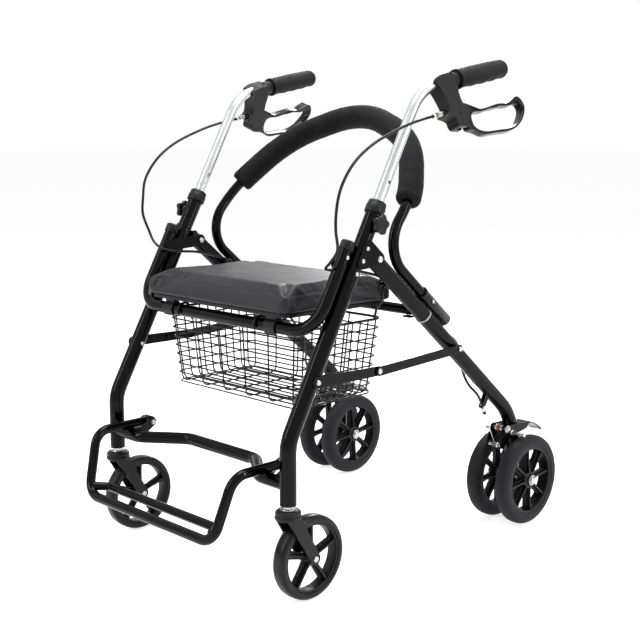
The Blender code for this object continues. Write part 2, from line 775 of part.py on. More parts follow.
# Rear frame.
def rear_leg(side, sign):
    x = sign * HALF_TRACK
    top = HINGE - REAR_DIR * 0.012
    corner = HINGE + REAR_DIR * ((REAR_AXLE_Y - HINGE_Y) / REAR_DIR.y)
    foot_z = REAR_AXLE_Z - 0.016
    path = bent([at_x(x, top), at_x(x, corner), (x, REAR_AXLE_Y, foot_z)], [REAR_BEND_R], 10)
    leg = add(f"{side}_rear_leg", tube(path, R), BLACK_FRAME, (x, HINGE_Y, HINGE_Z), REAR)
    stay = rear_leg_at(REAR_STAY_Y)
    stop_root = rear_leg_at(CABLE_STOP_LEG_Y)
    lug = hull([(stop_root.y, stop_root.z, 0.006), (*CABLE_STOP, 0.0055)])
    ears = []
    for edge in (-1, 1):
        ear = hull([(BRAKE_PIVOT_Y, BRAKE_PIVOT_Z, 0.0055), (REAR_AXLE_Y - 0.006, BRAKE_PIVOT_Z + 0.004, 0.006)])
        ears.append(plate(ear, x + edge * BRAKE_EAR_IN, x + edge * (BRAKE_EAR_IN + 0.002)))
    fuse(leg, plate(lug, x - 0.005, x + 0.005), *ears)
    seat_rest(side, sign)
    stop = Vector((x, *CABLE_STOP))
    way = (Vector((x, BRAKE_CLAMP_Y, BRAKE_CLAMP_Z)) - stop).normalized() * 0.012
    cut(leg, rod(stop - way, stop + way, snug(CABLE_D / 2, 8)))
    wide = Vector((2 * R, 0, 0))
    holes = [
        (HINGE, HINGE_BOLT),
        (stay, STAY_BOLT),
        (Vector((0, REAR_AXLE_Y, REAR_AXLE_Z)), AXLE_BOLT),
        (Vector((0, BRAKE_PIVOT_Y, BRAKE_PIVOT_Z)), STAY_BOLT),
    ]
    cut(leg, *[rod(at_x(x, p) - wide, at_x(x, p) + wide, snug(d / 2, 8)) for p, d in holes])
    outer = STAY_X + 2 * STAY_PLATE + 2 * GAP - HALF_TRACK
    cross_bolt(f"{side}_hinge_bolt", x, HINGE, -sign * (R + GAP + PLATE), sign * (R + GAP + PLATE), HINGE_BOLT, 0.0062)
    cross_bolt(f"{side}_front_stay_bolt", x, leg_at(FRONT_STAY_Z), -sign * R, sign * (STAY_X + STAY_PLATE - HALF_TRACK), STAY_BOLT)
    cross_bolt(f"{side}_rear_stay_bolt", x, stay, -sign * R, sign * outer, STAY_BOLT, parent=REAR)


def seat_rest(side, sign):
    """A shelf welded inside the rear leg, on which the seat's rear tube lies."""
    top = REST_TUBE_Z - THIN_TUBE / 2 - GAP
    front, back = REST_TUBE_Y - REST_SHELF / 2, REST_TUBE_Y + REST_SHELF / 2
    outline = [(front, top - REST_THICK), (back, top - REST_THICK), (back, top), (front, top)]
    outer = sign * PLATE_IN
    add(f"{side}_seat_rest", plate(outline, outer - sign * REST_REACH, outer), BLACK_FRAME, at_x(outer, HINGE), REAR)


def rear_wheels(side, sign):
    x = sign * HALF_TRACK
    hub = (REAR_AXLE_Y, REAR_AXLE_Z)
    for where, offset in (("inner", -sign * REAR_WHEEL_OFFSET), ("outer", sign * REAR_WHEEL_OFFSET)):
        wheel(
            f"{side}_{where}_rear_wheel",
            (x + offset, *hub),
            REAR_WHEEL_D,
            REAR_WHEEL_WIDTH,
            REAR_SPOKES,
            REAR_STEPS,
            AXLE_BOLT / 2,
            HUB_D,
            0.023,
            REAR,
            0.0,
        )
    reach = REAR_WHEEL_OFFSET + REAR_WHEEL_WIDTH / 2
    bolt = cross_bolt(f"{side}_rear_axle", x, (0, *hub), -sign * reach, sign * reach, AXLE_BOLT, 0.0080, REAR, 0.006)
    spacer_in, spacer_out = R + GAP, REAR_WHEEL_OFFSET - REAR_WHEEL_WIDTH / 2 + 0.0005 - GAP
    washers = [
        rod((x + e * spacer_in, *hub), (x + e * spacer_out, *hub), AXLE_BOLT / 2 + 0.003, 8) for e in (-1, 1)
    ]
    fuse(bolt, *washers)


def stays(side, sign):
    """Two side links that break upward when the frame folds."""
    front = leg_at(FRONT_STAY_Z)
    rear = rear_leg_at(REAR_STAY_Y)
    near = sign * STAY_X
    far = sign * (STAY_X + STAY_PLATE + GAP)
    half = STAY_WIDTH / 2
    middle = (MID_RIVET_Y, MID_RIVET_Z)
    link = plate(hull([(front.y, front.z, half), (*middle, half * 0.85)], 14), near, near + sign * STAY_PLATE)
    made = add(f"{side}_front_stay", link, BLACK_FRAME, at_x(near, front))
    inside = near - sign * 0.0015
    fuse(made, rod((inside, *middle), (near + sign * STAY_PLATE / 2, *middle), 0.0048))
    cut(made, rod(at_x(near - sign * 0.01, front), at_x(near + sign * 0.01, front), snug(STAY_BOLT / 2, 8)))
    link = plate(hull([(*middle, half * 0.85), (rear.y, rear.z, half * 0.8)], 14), far, far + sign * STAY_PLATE)
    made = add(f"{side}_rear_stay", link, BLACK_FRAME, at_x(far, rear), REAR)
    outside = far + sign * (STAY_PLATE + 0.002)
    sleeve = rod(at_x(sign * (LEG_FACE + GAP), rear), at_x(far + sign * STAY_PLATE / 2, rear), STAY_BOLT / 2 + 0.0025, 10)
    fuse(made, rod((far + sign * STAY_PLATE / 2, *middle), (outside, *middle), 0.0052), sleeve)
    cut(made, rod(at_x(near - sign * 0.02, rear), at_x(far + sign * 0.02, rear), snug(STAY_BOLT / 2, 8)))


# Backrest.
def backrest():
    low = rear_leg_at(SOCKET_LOW_Y, BACKREST_OFFSET)
    collar_top = low - REAR_DIR * SOCKET_LENGTH
    lower_bend = rear_leg_at(BACKREST_BEND_Y, BACKREST_OFFSET)
    top = Vector((0, BACKREST_BACK_Y, BACKREST_TOP_Z))
    rise = top - lower_bend
    corners = []
    for inset, share in ((1, 0), (0.985, 0.376), (0.688, 0.81), (0.147, 1.0)):
        corners.append(at_x(HALF_TRACK * inset, lower_bend + rise * share))
    start = at_x(HALF_TRACK, low - REAR_DIR * 0.006)
    half_path = [start, *corners]
    path = half_path + [Vector((-p.x, p.y, p.z)) for p in reversed(half_path)]
    radii = [BACKREST_BEND_R, 0.17, 0.21, 0.165]
    line = bent(path, radii + radii[::-1], 26)
    add("backrest_tube", tube(line, BACKREST_TUBE / 2, 8), BLACK_FRAME, start, REAR)
    levels = {sign: lower_bend.z + rise.z * share for sign, share in FOAM_STARTS.items()}
    foam = [p for p in line if p.z > levels[1 if p.x > 0 else -1]]
    ends = []
    for inside, step, sign in ((foam[0], -1, 1), (foam[-1], 1, -1)):
        outside = line[line.index(inside) + step]
        ends.append(inside.lerp(outside, (inside.z - levels[sign]) / (inside.z - outside.z)))
    axis = [ends[0], *foam, ends[1]]
    outer = BACKREST_FOAM / 2
    sleeve = tube_sleeve(axis, outer, snug(BACKREST_TUBE / 2, 10), 10)
    add("backrest_foam", sleeve, FOAM, (0, BACKREST_BACK_Y, BACKREST_TOP_Z), REAR)
    for side, sign in SIDES.items():
        socket(side, sign, at_x(sign * HALF_TRACK, low), at_x(sign * HALF_TRACK, collar_top))


def tube_sleeve(points, outer, inner, sides):
    """A sleeve round a bent axis, open at both ends and rounded at its rims."""
    ways = [(b - a).normalized() for a, b in zip(points, points[1:])]
    tangents = [ways[0]] + [(a + b).normalized() for a, b in zip(ways, ways[1:])] + [ways[-1]]
    side = (Vector((1, 0, 0)) - tangents[0] * tangents[0].x).normalized()
    frames = []
    for point, tangent in zip(points, tangents):
        side = (side - tangent * side.dot(tangent)).normalized()
        frames.append((point, side, tangent.cross(side)))
    round_end = 0.0035
    rings = [ring(p, s, u, inner, sides) for p, s, u in reversed(frames)]
    first, last = frames[0], frames[-1]
    rings.append(ring(*first, outer - round_end, sides))
    rings.append(ring(first[0] + tangents[0] * round_end, first[1], first[2], outer, sides))
    rings += [ring(p, s, u, outer, sides) for p, s, u in frames[1:-1]]
    rings.append(ring(last[0] - tangents[-1] * round_end, last[1], last[2], outer, sides))
    rings.append(ring(*last, outer - round_end, sides))
    return skin(rings, loop=True)


def socket(side, sign, low, high):
    """A sleeve welded behind the rear leg, with a spring button that locks the backrest."""
    bore = snug(BACKREST_TUBE / 2, 10)
    outer = bore + SOCKET_WALL
    length = (high - low).length
    flange = outer + 0.0007
    profile = [
        (0, 0.004),
        (0, outer),
        (length - 0.007, outer),
        (length - 0.006, flange),
        (length, flange),
        (length, bore),
        (0.003, bore),
        (0.003, 0.004),
    ]
    made = add(f"{side}_backrest_socket", turned(profile, low, high - low, 10, loop=True), BLACK_FRAME, low, REAR)
    leg_side = -REAR_UP * (BACKREST_OFFSET - R - GAP)
    wall_side = -REAR_UP * (bore + SOCKET_WALL / 2)
    block = []
    for along, up in ((0.004, leg_side), (length - 0.010, leg_side), (length - 0.010, wall_side), (0.004, wall_side)):
        spot = low - REAR_DIR * along + up
        block.append((spot.y, spot.z))
    button = low - REAR_DIR * (length * 0.5 + 0.018)
    pin_x = low.x + sign * (outer - 0.001)
    pin = rod(at_x(pin_x, button), at_x(pin_x + sign * 0.0035, button), 0.0032)
    fuse(made, plate(block, low.x - 0.004, low.x + 0.004), pin)


# Seat.
def seat(bar):
    z = SEAT_CUSHION_Z
    add("seat_cushion", cushion_mesh(), VINYL, (0, SEAT_FRONT_Y + SEAT_DEPTH / 2, z), SEAT)
    front = SEAT_FRONT_Y + BOARD_INSET
    back = SEAT_FRONT_Y + SEAT_DEPTH - BOARD_INSET
    half = SEAT_WIDTH / 2 - BOARD_INSET
    rings = []
    for level in (z - GAP - BOARD, z - GAP):
        corner = 0.02
        outline = smooth_loop([(-half, front), (half, front), (half, back), (-half, back)], corner)
        rings.append([Vector((x, y, level)) for x, y in outline])
    board = add("seat_board", skin(rings), BLACK_PLASTIC, (0, bar.y, bar.z), SEAT)
    clip_r = FRAME_R + GAP
    clips = []
    for sign in SIDES.values():
        x = sign * 0.140
        open_ring = []
        for i in range(13):
            turn = math.radians(-62 + i * 25)
            open_ring.append((bar.y + (clip_r + 0.0028) * math.cos(turn), bar.z + (clip_r + 0.0028) * math.sin(turn)))
        for i in reversed(range(13)):
            turn = math.radians(-62 + i * 25)
            open_ring.append((bar.y + (clip_r + 0.0006) * math.cos(turn), bar.z + (clip_r + 0.0006) * math.sin(turn)))
        clips.append(plate(open_ring, x - 0.014, x + 0.014))
        top = z - GAP - BOARD + 0.001
        neck = [
            (bar.y - 0.006, bar.z + clip_r + 0.0012),
            (bar.y + 0.006, bar.z + clip_r + 0.0012),
            (bar.y + 0.006, top),
            (bar.y - 0.006, top),
        ]
        clips.append(plate(neck, x - 0.012, x + 0.012))
    fuse(board, *clips)
    rest_mesh = rod((-REST_TUBE_HALF, REST_TUBE_Y, REST_TUBE_Z), (REST_TUBE_HALF, REST_TUBE_Y, REST_TUBE_Z), THIN_TUBE / 2, 12)
    rest = add("seat_rear_tube", rest_mesh, BLACK_FRAME, (0, bar.y, bar.z), SEAT)
    tabs = []
    low = z - 2 * GAP - BOARD - 0.002
    for sign in SIDES.values():
        x = sign * 0.120
        tab = [
            (back - TAB_LAP, low),
            (REST_TUBE_Y - 0.004, low - 0.004),
            (REST_TUBE_Y, REST_TUBE_Z + 0.002),
            (REST_TUBE_Y + 0.004, REST_TUBE_Z + 0.002),
            (REST_TUBE_Y + 0.002, low + 0.0005),
            (REST_TUBE_Y - 0.010, low + 0.002),
            (back - TAB_LAP, low + 0.002),
        ]
        tabs.append(plate(tab, x - 0.013, x + 0.013))
    fuse(rest, *tabs)


def cushion_mesh():
    """A padded top with drawn-in sides, a crown and a flat underside."""
    middle_y = SEAT_FRONT_Y + SEAT_DEPTH / 2
    half_x, half_y = SEAT_WIDTH / 2, SEAT_DEPTH / 2
    rows = []
    profile = [(0.965, 0.0), (0.985, 0.10), (1.0, 0.38), (0.998, 0.62), (0.975, 0.84), (0.935, 0.97)]
    outline = []
    side_points = 8
    for sx, sy in ((1, -1), (1, 1), (-1, 1), (-1, -1)):
        for i in range(side_points):
            share = -1 + 2 * i / side_points
            x, y = (sx, sy * -share) if sx * sy < 0 else (sx * -share, sy)
            outline.append((x, y))
    corner_round = 0.030
    for scale, height in profile:
        level = SEAT_CUSHION_Z + SEAT_THICKNESS * height
        row = []
        for x, y in outline:
            draw = SEAT_SIDE_DRAW * ((1 - x * x) if abs(y) > abs(x) else (1 - y * y))
            px, py = x * half_x, y * half_y
            if abs(x) == 1:
                px -= math.copysign(draw, x)
            else:
                py -= math.copysign(draw, y)
            cx, cy = half_x - corner_round, half_y - corner_round
            if abs(px) > cx and abs(py) > cy:
                out = Vector((abs(px) - cx, abs(py) - cy))
                out *= corner_round / max(out.x, out.y, 1e-6) * max(out.x, out.y) / max(out.length, 1e-6)
                px, py = math.copysign(cx + out.x, px), math.copysign(cy + out.y, py)
            row.append(Vector((px * scale, middle_y + py * scale, level)))
        rows.append(row)
    crown_rows = 5
    for k in range(1, crown_rows + 1):
        inward = 0.935 * (1 - k / (crown_rows + 0.6))
        swell = 1 - (inward / 0.935) ** 2.2
        level = SEAT_CUSHION_Z + SEAT_THICKNESS * 0.97 + SEAT_CROWN * swell + 0.0012
        rows.append([Vector((p.x / 0.935 * inward, middle_y + (p.y - middle_y) / 0.935 * inward, level)) for p in rows[5]])
    return skin(rows)


# Basket.
def basket():
    """Welded wire basket: a tapered wire box under a thicker rim, with two hooks and two bails."""
    top, low = BASKET_TOP_Z, BASKET_BOTTOM_Z
    front, back = BASKET_FRONT_Y, BASKET_BACK_Y
    middle = (front + back) / 2
    mesh = bmesh.new()
    across = [-1 + 2 * i / BASKET_ACROSS for i in range(BASKET_ACROSS + 1)]
    along = [-1 + 2 * i / BASKET_ALONG for i in range(BASKET_ALONG + 1)]
    round_trip = [(a, -1) for a in across[:-1]] + [(1, b) for b in along[:-1]]
    round_trip += [(-a, 1) for a in across[:-1]] + [(-1, -b) for b in along[:-1]]

    def spot(a, b, share):
        half = BASKET_TOP_HALF + (BASKET_BOTTOM_HALF - BASKET_TOP_HALF) * share
        deep = (back - front) / 2 - BASKET_TAPER * share
        pull = 1 - BASKET_CORNER * (abs(a) == 1 and abs(b) == 1)
        return mesh.verts.new((a * half * pull, middle + b * deep * pull, top + (low - top) * share))

    rows = []
    for i in range(BASKET_HOOPS + 1):
        rows.append({key: spot(*key, i / BASKET_HOOPS) for key in round_trip})
    for upper, lower in zip(rows, rows[1:]):
        for k, key in enumerate(round_trip):
            after = round_trip[(k + 1) % len(round_trip)]
            mesh.faces.new((upper[key], lower[key], lower[after], upper[after]))
    floor = {(a, b): rows[-1].get((a, b)) or spot(a, b, 1) for a in across for b in along}
    for a, a2 in zip(across, across[1:]):
        for b, b2 in zip(along, along[1:]):
            mesh.faces.new((floor[a, b], floor[a, b2], floor[a2, b2], floor[a2, b]))
    bmesh.ops.recalc_face_normals(mesh, faces=mesh.faces)
    made = add("basket", mesh, WIRE, (0, middle, low))
    wires = made.modifiers.new("wires", "WIREFRAME")
    wires.thickness = BASKET_WIRE
    wires.use_even_offset = True
    wires.use_boundary = True
    rim = [(s * BASKET_TOP_HALF, y, top) for s, y in ((-1, front), (1, front), (1, back), (-1, back))]
    joined = [loop_tube(rim, BASKET_RIM_WIRE / 2, 0.022, 6)]
    for sign in SIDES.values():
        joined.append(bail(sign))
        joined.append(front_hook(sign))
    fuse(made, *joined)


def loop_tube(corners, radius, bend, sides):
    """A closed wire loop round level corners."""
    z = corners[0][2]
    flat = smooth_loop([(c[0], c[1]) for c in corners], bend, 45)
    points = [Vector((x, y, z)) for x, y in flat]
    count = len(points)
    rings = []
    for i, point in enumerate(points):
        way = (points[(i + 1) % count] - points[i - 1]).normalized()
        rings.append(ring(point, Vector((way.y, -way.x, 0)), Vector((0, 0, 1)), radius, sides))
    return skin(rings, loop=True)


def bail(sign):
    """The rear wire that rises from the rim and ends in an eye round the strap's pin."""
    eye = RING_D / 2 - BASKET_RIM_WIRE / 2
    start = Vector((sign * BASKET_TOP_HALF, BASKET_BACK_Y - 0.024, BASKET_TOP_Z))
    centre = Vector((sign * RING_X, RING_Y, RING_Z))
    points = [start, start + Vector((sign * 0.006, -0.001, 0.020)), centre + Vector((-sign * 0.004, 0.004, -0.030))]
    for i in range(8):
        turn = math.radians(-75 + i * 43)
        points.append(centre + Vector((0, math.cos(turn) * eye, math.sin(turn) * eye)))
    return tube(points, BASKET_RIM_WIRE / 2 * 0.8, 5)


def front_hook(sign):
    """A hook that hangs the basket's front rim on the seat's front tube."""
    bar = SEAT_BAR
    x = sign * 0.105
    reach = FRAME_R + 0.0008 + BASKET_RIM_WIRE / 2
    points = [Vector((x, BASKET_FRONT_Y, BASKET_TOP_Z - 0.012)), Vector((x, BASKET_FRONT_Y, BASKET_TOP_Z + 0.004))]
    for turn in (10, 40, 70, 100, 130, 160, 190, 215):
        angle = math.radians(turn)
        points.append(Vector((x, bar.y + reach * math.cos(angle), bar.z + reach * math.sin(angle))))
    return tube(points, BASKET_RIM_WIRE / 2, 5)


# Handles and brakes.
def handle(side, sign):
    x = sign * HALF_TRACK
    corner = leg_at(HANDLE_CORNER_Z)
    low = leg_at(LEG_TOP_Z) - LEG_DIR * HANDLE_INSERT
    end = corner + GRIP_DIR * ((GRIP_BACK_Y - 0.006 - corner.y) / GRIP_DIR.y)
    stand = handle_turn(sign)
    path = bent([at_x(x, low), at_x(x, corner), stand @ at_x(x, end)], [HANDLE_BEND_R], 12)
    slide = joint_empty(f"{side}_handle_slide", at_x(x, leg_at(LEG_TOP_Z)), WALKER)
    add(f"{side}_handle_tube", tube(path, HANDLE_TUBE / 2, 12), SILVER, at_x(x, corner), slide)
    start = corner + GRIP_DIR * ((GRIP_FRONT_Y - corner.y) / GRIP_DIR.y)
    length = (GRIP_BACK_Y - GRIP_FRONT_Y) / GRIP_DIR.y
    bore = snug(HANDLE_TUBE / 2, 12)
    full = GRIP_D / 2
    profile = [(0, bore), (0, full + 0.0008), (0.0035, full + 0.0008), (0.006, full - 0.0012)]
    pitch = (length - 0.022) / GRIP_RIBS
    for i in range(GRIP_RIBS):
        base = 0.008 + pitch * i
        profile += [(base, full), (base + pitch * 0.75, full), (base + pitch * 0.88, full - 0.0010)]
    profile += [(length - 0.006, full - 0.0008), (length - 0.0015, full * 0.80), (length, full * 0.45)]
    profile += [(length, 0.001), (length - 0.0025, 0.001), (length - 0.0025, bore)]
    start = stand @ at_x(x, start)
    grip_mesh = turned(profile, start, stand.to_3x3() @ GRIP_DIR, 12, loop=True)
    add(f"{side}_grip", grip_mesh, GRIP_RUBBER, start, slide)
    housing(side, sign, path, slide)
    lever(side, sign, slide)


def from_pivot(steps):
    """Points of (y, z) given as steps from the lever's pivot."""
    return [(LEVER_PIVOT_Y + dy, LEVER_PIVOT_Z + dz) for dy, dz in steps]


def housing(side, sign, path, slide):
    """The brake lever's mount: a clamp round the handle tube, with cheeks that hold the lever."""
    x = sign * HALF_TRACK
    outline = [
        (-0.0405, 0.0585),
        (-0.0280, 0.0682),
        (-0.0080, 0.0732),
        (0.0080, 0.0750),
        (0.0092, 0.0280),
        (0.0123, 0.0176),
        (0.0195, 0.0091),
        (0.0215, 0.0000),
        (0.0195, -0.0091),
        (0.0138, -0.0165),
        (0.0120, -0.0255),
        (-0.0090, -0.0235),
        (-0.0130, -0.0110),
        (-0.0320, -0.0015),
        (-0.0215, 0.0100),
        (-0.0310, 0.0440),
    ]
    half = HOUSING_WIDTH / 2
    made = add(
        f"{side}_brake_housing",
        tilted(plate(smooth_loop(from_pivot(outline), 0.008), x - half, x + half), sign),
        BLACK_PLASTIC,
        handle_turn(sign, LEVER_TILT) @ Vector((x, LEVER_PIVOT_Y, LEVER_PIVOT_Z)),
        slide,
    )
    way = Vector((0, *CABLE_TOP_WAY)).normalized()
    barrel = turned([(0.0, 0.0045), (0.008, 0.0055), (0.020, 0.0055), (0.040, 0.0050)], (x, *CABLE_TOP), way, 10)
    fuse(made, tilted(barrel, sign))
    slot_half = LEVER_TONGUE / 2 + GAP * 2
    slot = [(-0.0030, -0.0340), (0.0420, -0.0340), (0.0420, 0.0290), (0.0040, 0.0145)]
    slot += [(-0.0098, 0.0110), (-0.0098, -0.0075), (-0.0030, -0.0140)]
    slot_mesh = tilted(plate(from_pivot(slot), x - slot_half, x + slot_half), sign)
    cut(made, tube(path, snug(HANDLE_TUBE / 2, 12), 12), slot_mesh)
    pin = LEVER_PIN / 2
    fuse_pin = rod((x - half - 0.001, LEVER_PIVOT_Y, LEVER_PIVOT_Z), (x + half + 0.001, LEVER_PIVOT_Y, LEVER_PIVOT_Z), pin)
    body = tool(f"{side}_brake_housing_pin", tilted(fuse_pin, sign))
    join = made.modifiers.new("pin", "BOOLEAN")
    join.operation = "UNION"
    join.object = body


def lever(side, sign, slide):
    """The loop lever: squeezed up to slow down."""
    x = sign * HALF_TRACK
    pivot = Vector((x, LEVER_PIVOT_Y, LEVER_PIVOT_Z))
    outer = [
        (0.0153, 0.0169),
        (0.0175, 0.0210),
        (0.0220, 0.0185),
        (0.0280, 0.0105),
        (0.0548, 0.0088),
        (0.0958, 0.0172),
        (0.1280, 0.0195),
        (0.1570, 0.0350),
        (0.1725, 0.0270),
        (0.1735, 0.0090),
        (0.1540, -0.0165),
        (0.1280, -0.0315),
        (0.0720, -0.0374),
        (0.0500, -0.0380),
        (0.0170, -0.0275),
        (0.0155, -0.0167),
        (0.0211, -0.0085),
        (0.0228, 0.0000),
        (0.0211, 0.0085),
    ]
    inner = [
        (0.0305, -0.0180),
        (0.0305, -0.0050),
        (0.0380, 0.0032),
        (0.0620, 0.0045),
        (0.0992, 0.0125),
        (0.1400, 0.0160),
        (0.1590, 0.0225),
        (0.1660, 0.0110),
        (0.1450, -0.0175),
        (0.1160, -0.0292),
        (0.0520, -0.0337),
    ]
    half = LEVER_BAND / 2
    made = add(
        f"{side}_brake_lever",
        tilted(plate(smooth_loop(from_pivot(outer), 0.009), x - half, x + half), sign),
        BLACK_PLASTIC,
        handle_turn(sign, LEVER_TILT) @ pivot,
        slide,
    )
    tongue = LEVER_TONGUE / 2
    (upper, lower) = from_pivot([(0.0265, 0.0070), (0.0265, -0.0110)])
    root = hull([(pivot.y, pivot.z, 0.0085), (*upper, 0.0060), (*lower, 0.0065)])
    fuse(made, tilted(plate(root, x - tongue, x + tongue), sign))
    wide = half + 0.005
    cut(
        made,
        tilted(plate(smooth_loop(from_pivot(inner), 0.007), x - wide, x + wide), sign),
        tilted(rod((x - wide, pivot.y, pivot.z), (x + wide, pivot.y, pivot.z), snug(LEVER_PIN / 2, 8)), sign),
    )


def brake_cable(side, sign):
    """The brake cable along its whole route, thinner where the bare wire leaves the ferrule."""
    line = bpy.data.curves.new(f"{side}_brake_cable", "CURVE")
    line.dimensions = "3D"
    line.bevel_depth = CABLE_D / 2
    line.bevel_resolution = 2
    line.use_fill_caps = True
    knots = []
    level = (Vector((0, 1, 0)), Vector((0, 0, 1)))
    barrel = handle_turn(1, LEVER_TILT) @ Vector((HALF_TRACK, *CABLE_TOP))
    starts = (
        (CABLE_FROM_BARREL, barrel, level),
        (CABLE_PAST_HINGE, (HALF_TRACK, HINGE_Y, HINGE_Z), level),
        (CABLE_ALONG_LEG, (HALF_TRACK, HINGE_Y, HINGE_Z), (REAR_DIR, REAR_UP)),
        (CABLE_TO_STOP, (HALF_TRACK, *CABLE_STOP), level),
    )
    for steps, (x, y, z), (ahead, above) in starts:
        for dx, along, up in steps:
            knots.append(Vector((sign * (x + dx), y, z)) + ahead * along + above * up)
    points = smooth_route(knots, 0.0150)
    wire = [Vector((sign * HALF_TRACK, CABLE_STOP[0] + dy, CABLE_STOP[1] + dz)) for dy, dz in CABLE_WIRE]
    wire.append(Vector((sign * HALF_TRACK, BRAKE_CLAMP_Y + CABLE_WIRE_END[0], BRAKE_CLAMP_Z + CABLE_WIRE_END[1])))
    spline = line.splines.new("POLY")
    everything = [(p, 1.0) for p in points] + [(p, 0.36) for p in wire]
    spline.points.add(len(everything) - 1)
    for point, (place, thick) in zip(spline.points, everything):
        point.co = (*place, 1)
        point.radius = thick
    made = bpy.data.objects.new(f"{side}_brake_cable", line)
    bpy.context.scene.collection.objects.link(made)
    made.parent = WALKER
    line.materials.append(BLACK_PLASTIC)


def smooth_route(knots, step):
    """Points every step along a smooth curve through the knots."""
    padded = [knots[0] * 2 - knots[1], *knots, knots[-1] * 2 - knots[-2]]
    dense = []
    for a, b, c, d in zip(padded, padded[1:], padded[2:], padded[3:]):
        k1 = max((b - a).length, 1e-6) ** 0.5
        k2 = max((c - b).length, 1e-6) ** 0.5
        k3 = max((d - c).length, 1e-6) ** 0.5
        out = ((b - a) / k1 - (c - a) / (k1 + k2) + (c - b) / k2) * k2
        into = ((c - b) / k2 - (d - b) / (k2 + k3) + (d - c) / k3) * k2
        for i in range(20):
            t = i / 20
            dense.append(
                b * (2 * t**3 - 3 * t**2 + 1) + out * (t**3 - 2 * t**2 + t) + c * (3 * t**2 - 2 * t**3) + into * (t**3 - t**2)
            )
    dense.append(knots[-1])
    lengths = [0.0]
    for a, b in zip(dense, dense[1:]):
        lengths.append(lengths[-1] + (b - a).length)
    count = round(lengths[-1] / step)
    made = []
    j = 0
    for i in range(count + 1):
        goal = lengths[-1] * i / count
        while j < len(dense) - 2 and lengths[j + 1] < goal:
            j += 1
        made.append(dense[j].lerp(dense[j + 1], (goal - lengths[j]) / (lengths[j + 1] - lengths[j])))
    return made


def rear_brake(side, sign):
    """The crank that pulls the shoe bar down on both tyres, with its pedal behind the leg."""
    x = sign * HALF_TRACK
    pivot = (BRAKE_PIVOT_Y, BRAKE_PIVOT_Z)
    inside = CRANK_HALF - CRANK_PLATE
    rear = REAR_AXLE_Y + R + 0.010
    side_outline = [
        (BRAKE_CLAMP_Y - 0.004, BRAKE_CLAMP_Z - 0.002),
        (BRAKE_PIVOT_Y - 0.007, BRAKE_PIVOT_Z + 0.001),
        (BRAKE_PIVOT_Y, BRAKE_PIVOT_Z + 0.007),
        (rear - 0.010, BRAKE_PIVOT_Z + 0.0045),
        (rear + 0.004, BRAKE_PIVOT_Z + 0.001),
        (rear + 0.002, BRAKE_PIVOT_Z - 0.008),
        (BRAKE_SHOE_Y + 0.004, BRAKE_SHOE_Z - 0.004),
        (BRAKE_CLAMP_Y + 0.006, BRAKE_CLAMP_Z - 0.002),
    ]
    outline = smooth_loop(side_outline, 0.004)
    made = add(
        f"{side}_rear_brake",
        plate(outline, x + inside, x + CRANK_HALF),
        BLACK_FRAME,
        (x, *pivot),
        REAR,
    )
    pedal = [
        (rear - 0.002, BRAKE_PIVOT_Z - 0.0055),
        (rear - 0.002, BRAKE_PIVOT_Z + 0.0005),
        (rear + 0.014, BRAKE_PIVOT_Z + 0.0010),
        (PEDAL_TIP_Y - 0.024, PEDAL_TIP_Z + 0.0180),
        (PEDAL_TIP_Y - 0.004, PEDAL_TIP_Z + 0.0050),
        (PEDAL_TIP_Y, PEDAL_TIP_Z + 0.0015),
        (PEDAL_TIP_Y - 0.003, PEDAL_TIP_Z - 0.0005),
        (PEDAL_TIP_Y - 0.026, PEDAL_TIP_Z + 0.0130),
        (rear + 0.014, BRAKE_PIVOT_Z - 0.0040),
    ]
    shoe_half = REAR_WHEEL_OFFSET + REAR_WHEEL_WIDTH * 0.42
    bush_half = BRAKE_EAR_IN - 2 * GAP
    meshes = [
        plate(outline, x - CRANK_HALF, x - inside),
        plate(pedal, x - CRANK_HALF + 0.0005, x + CRANK_HALF - 0.0005),
        rod((x - shoe_half, BRAKE_SHOE_Y, BRAKE_SHOE_Z), (x + shoe_half, BRAKE_SHOE_Y, BRAKE_SHOE_Z), BRAKE_SHOE_D / 2, 10),
        rod((x - inside - 0.001, BRAKE_CLAMP_Y, BRAKE_CLAMP_Z), (x + inside + 0.001, BRAKE_CLAMP_Y, BRAKE_CLAMP_Z), 0.0032),
        rod((x - CRANK_HALF - 0.0025, *pivot), (x + CRANK_HALF + 0.0025, *pivot), STAY_BOLT / 2),
        rod((x - bush_half, *pivot), (x + bush_half, *pivot), SPRING_D / 2 - SPRING_WIRE - SPRING_BUSH_GAP),
        rod((x + sign * (CRANK_HALF - 0.001), *pivot), (x + sign * (CRANK_HALF + 0.0028), *pivot), 0.0052, 6),
    ]
    fuse(made, *meshes)
    torsion_spring(side, sign)


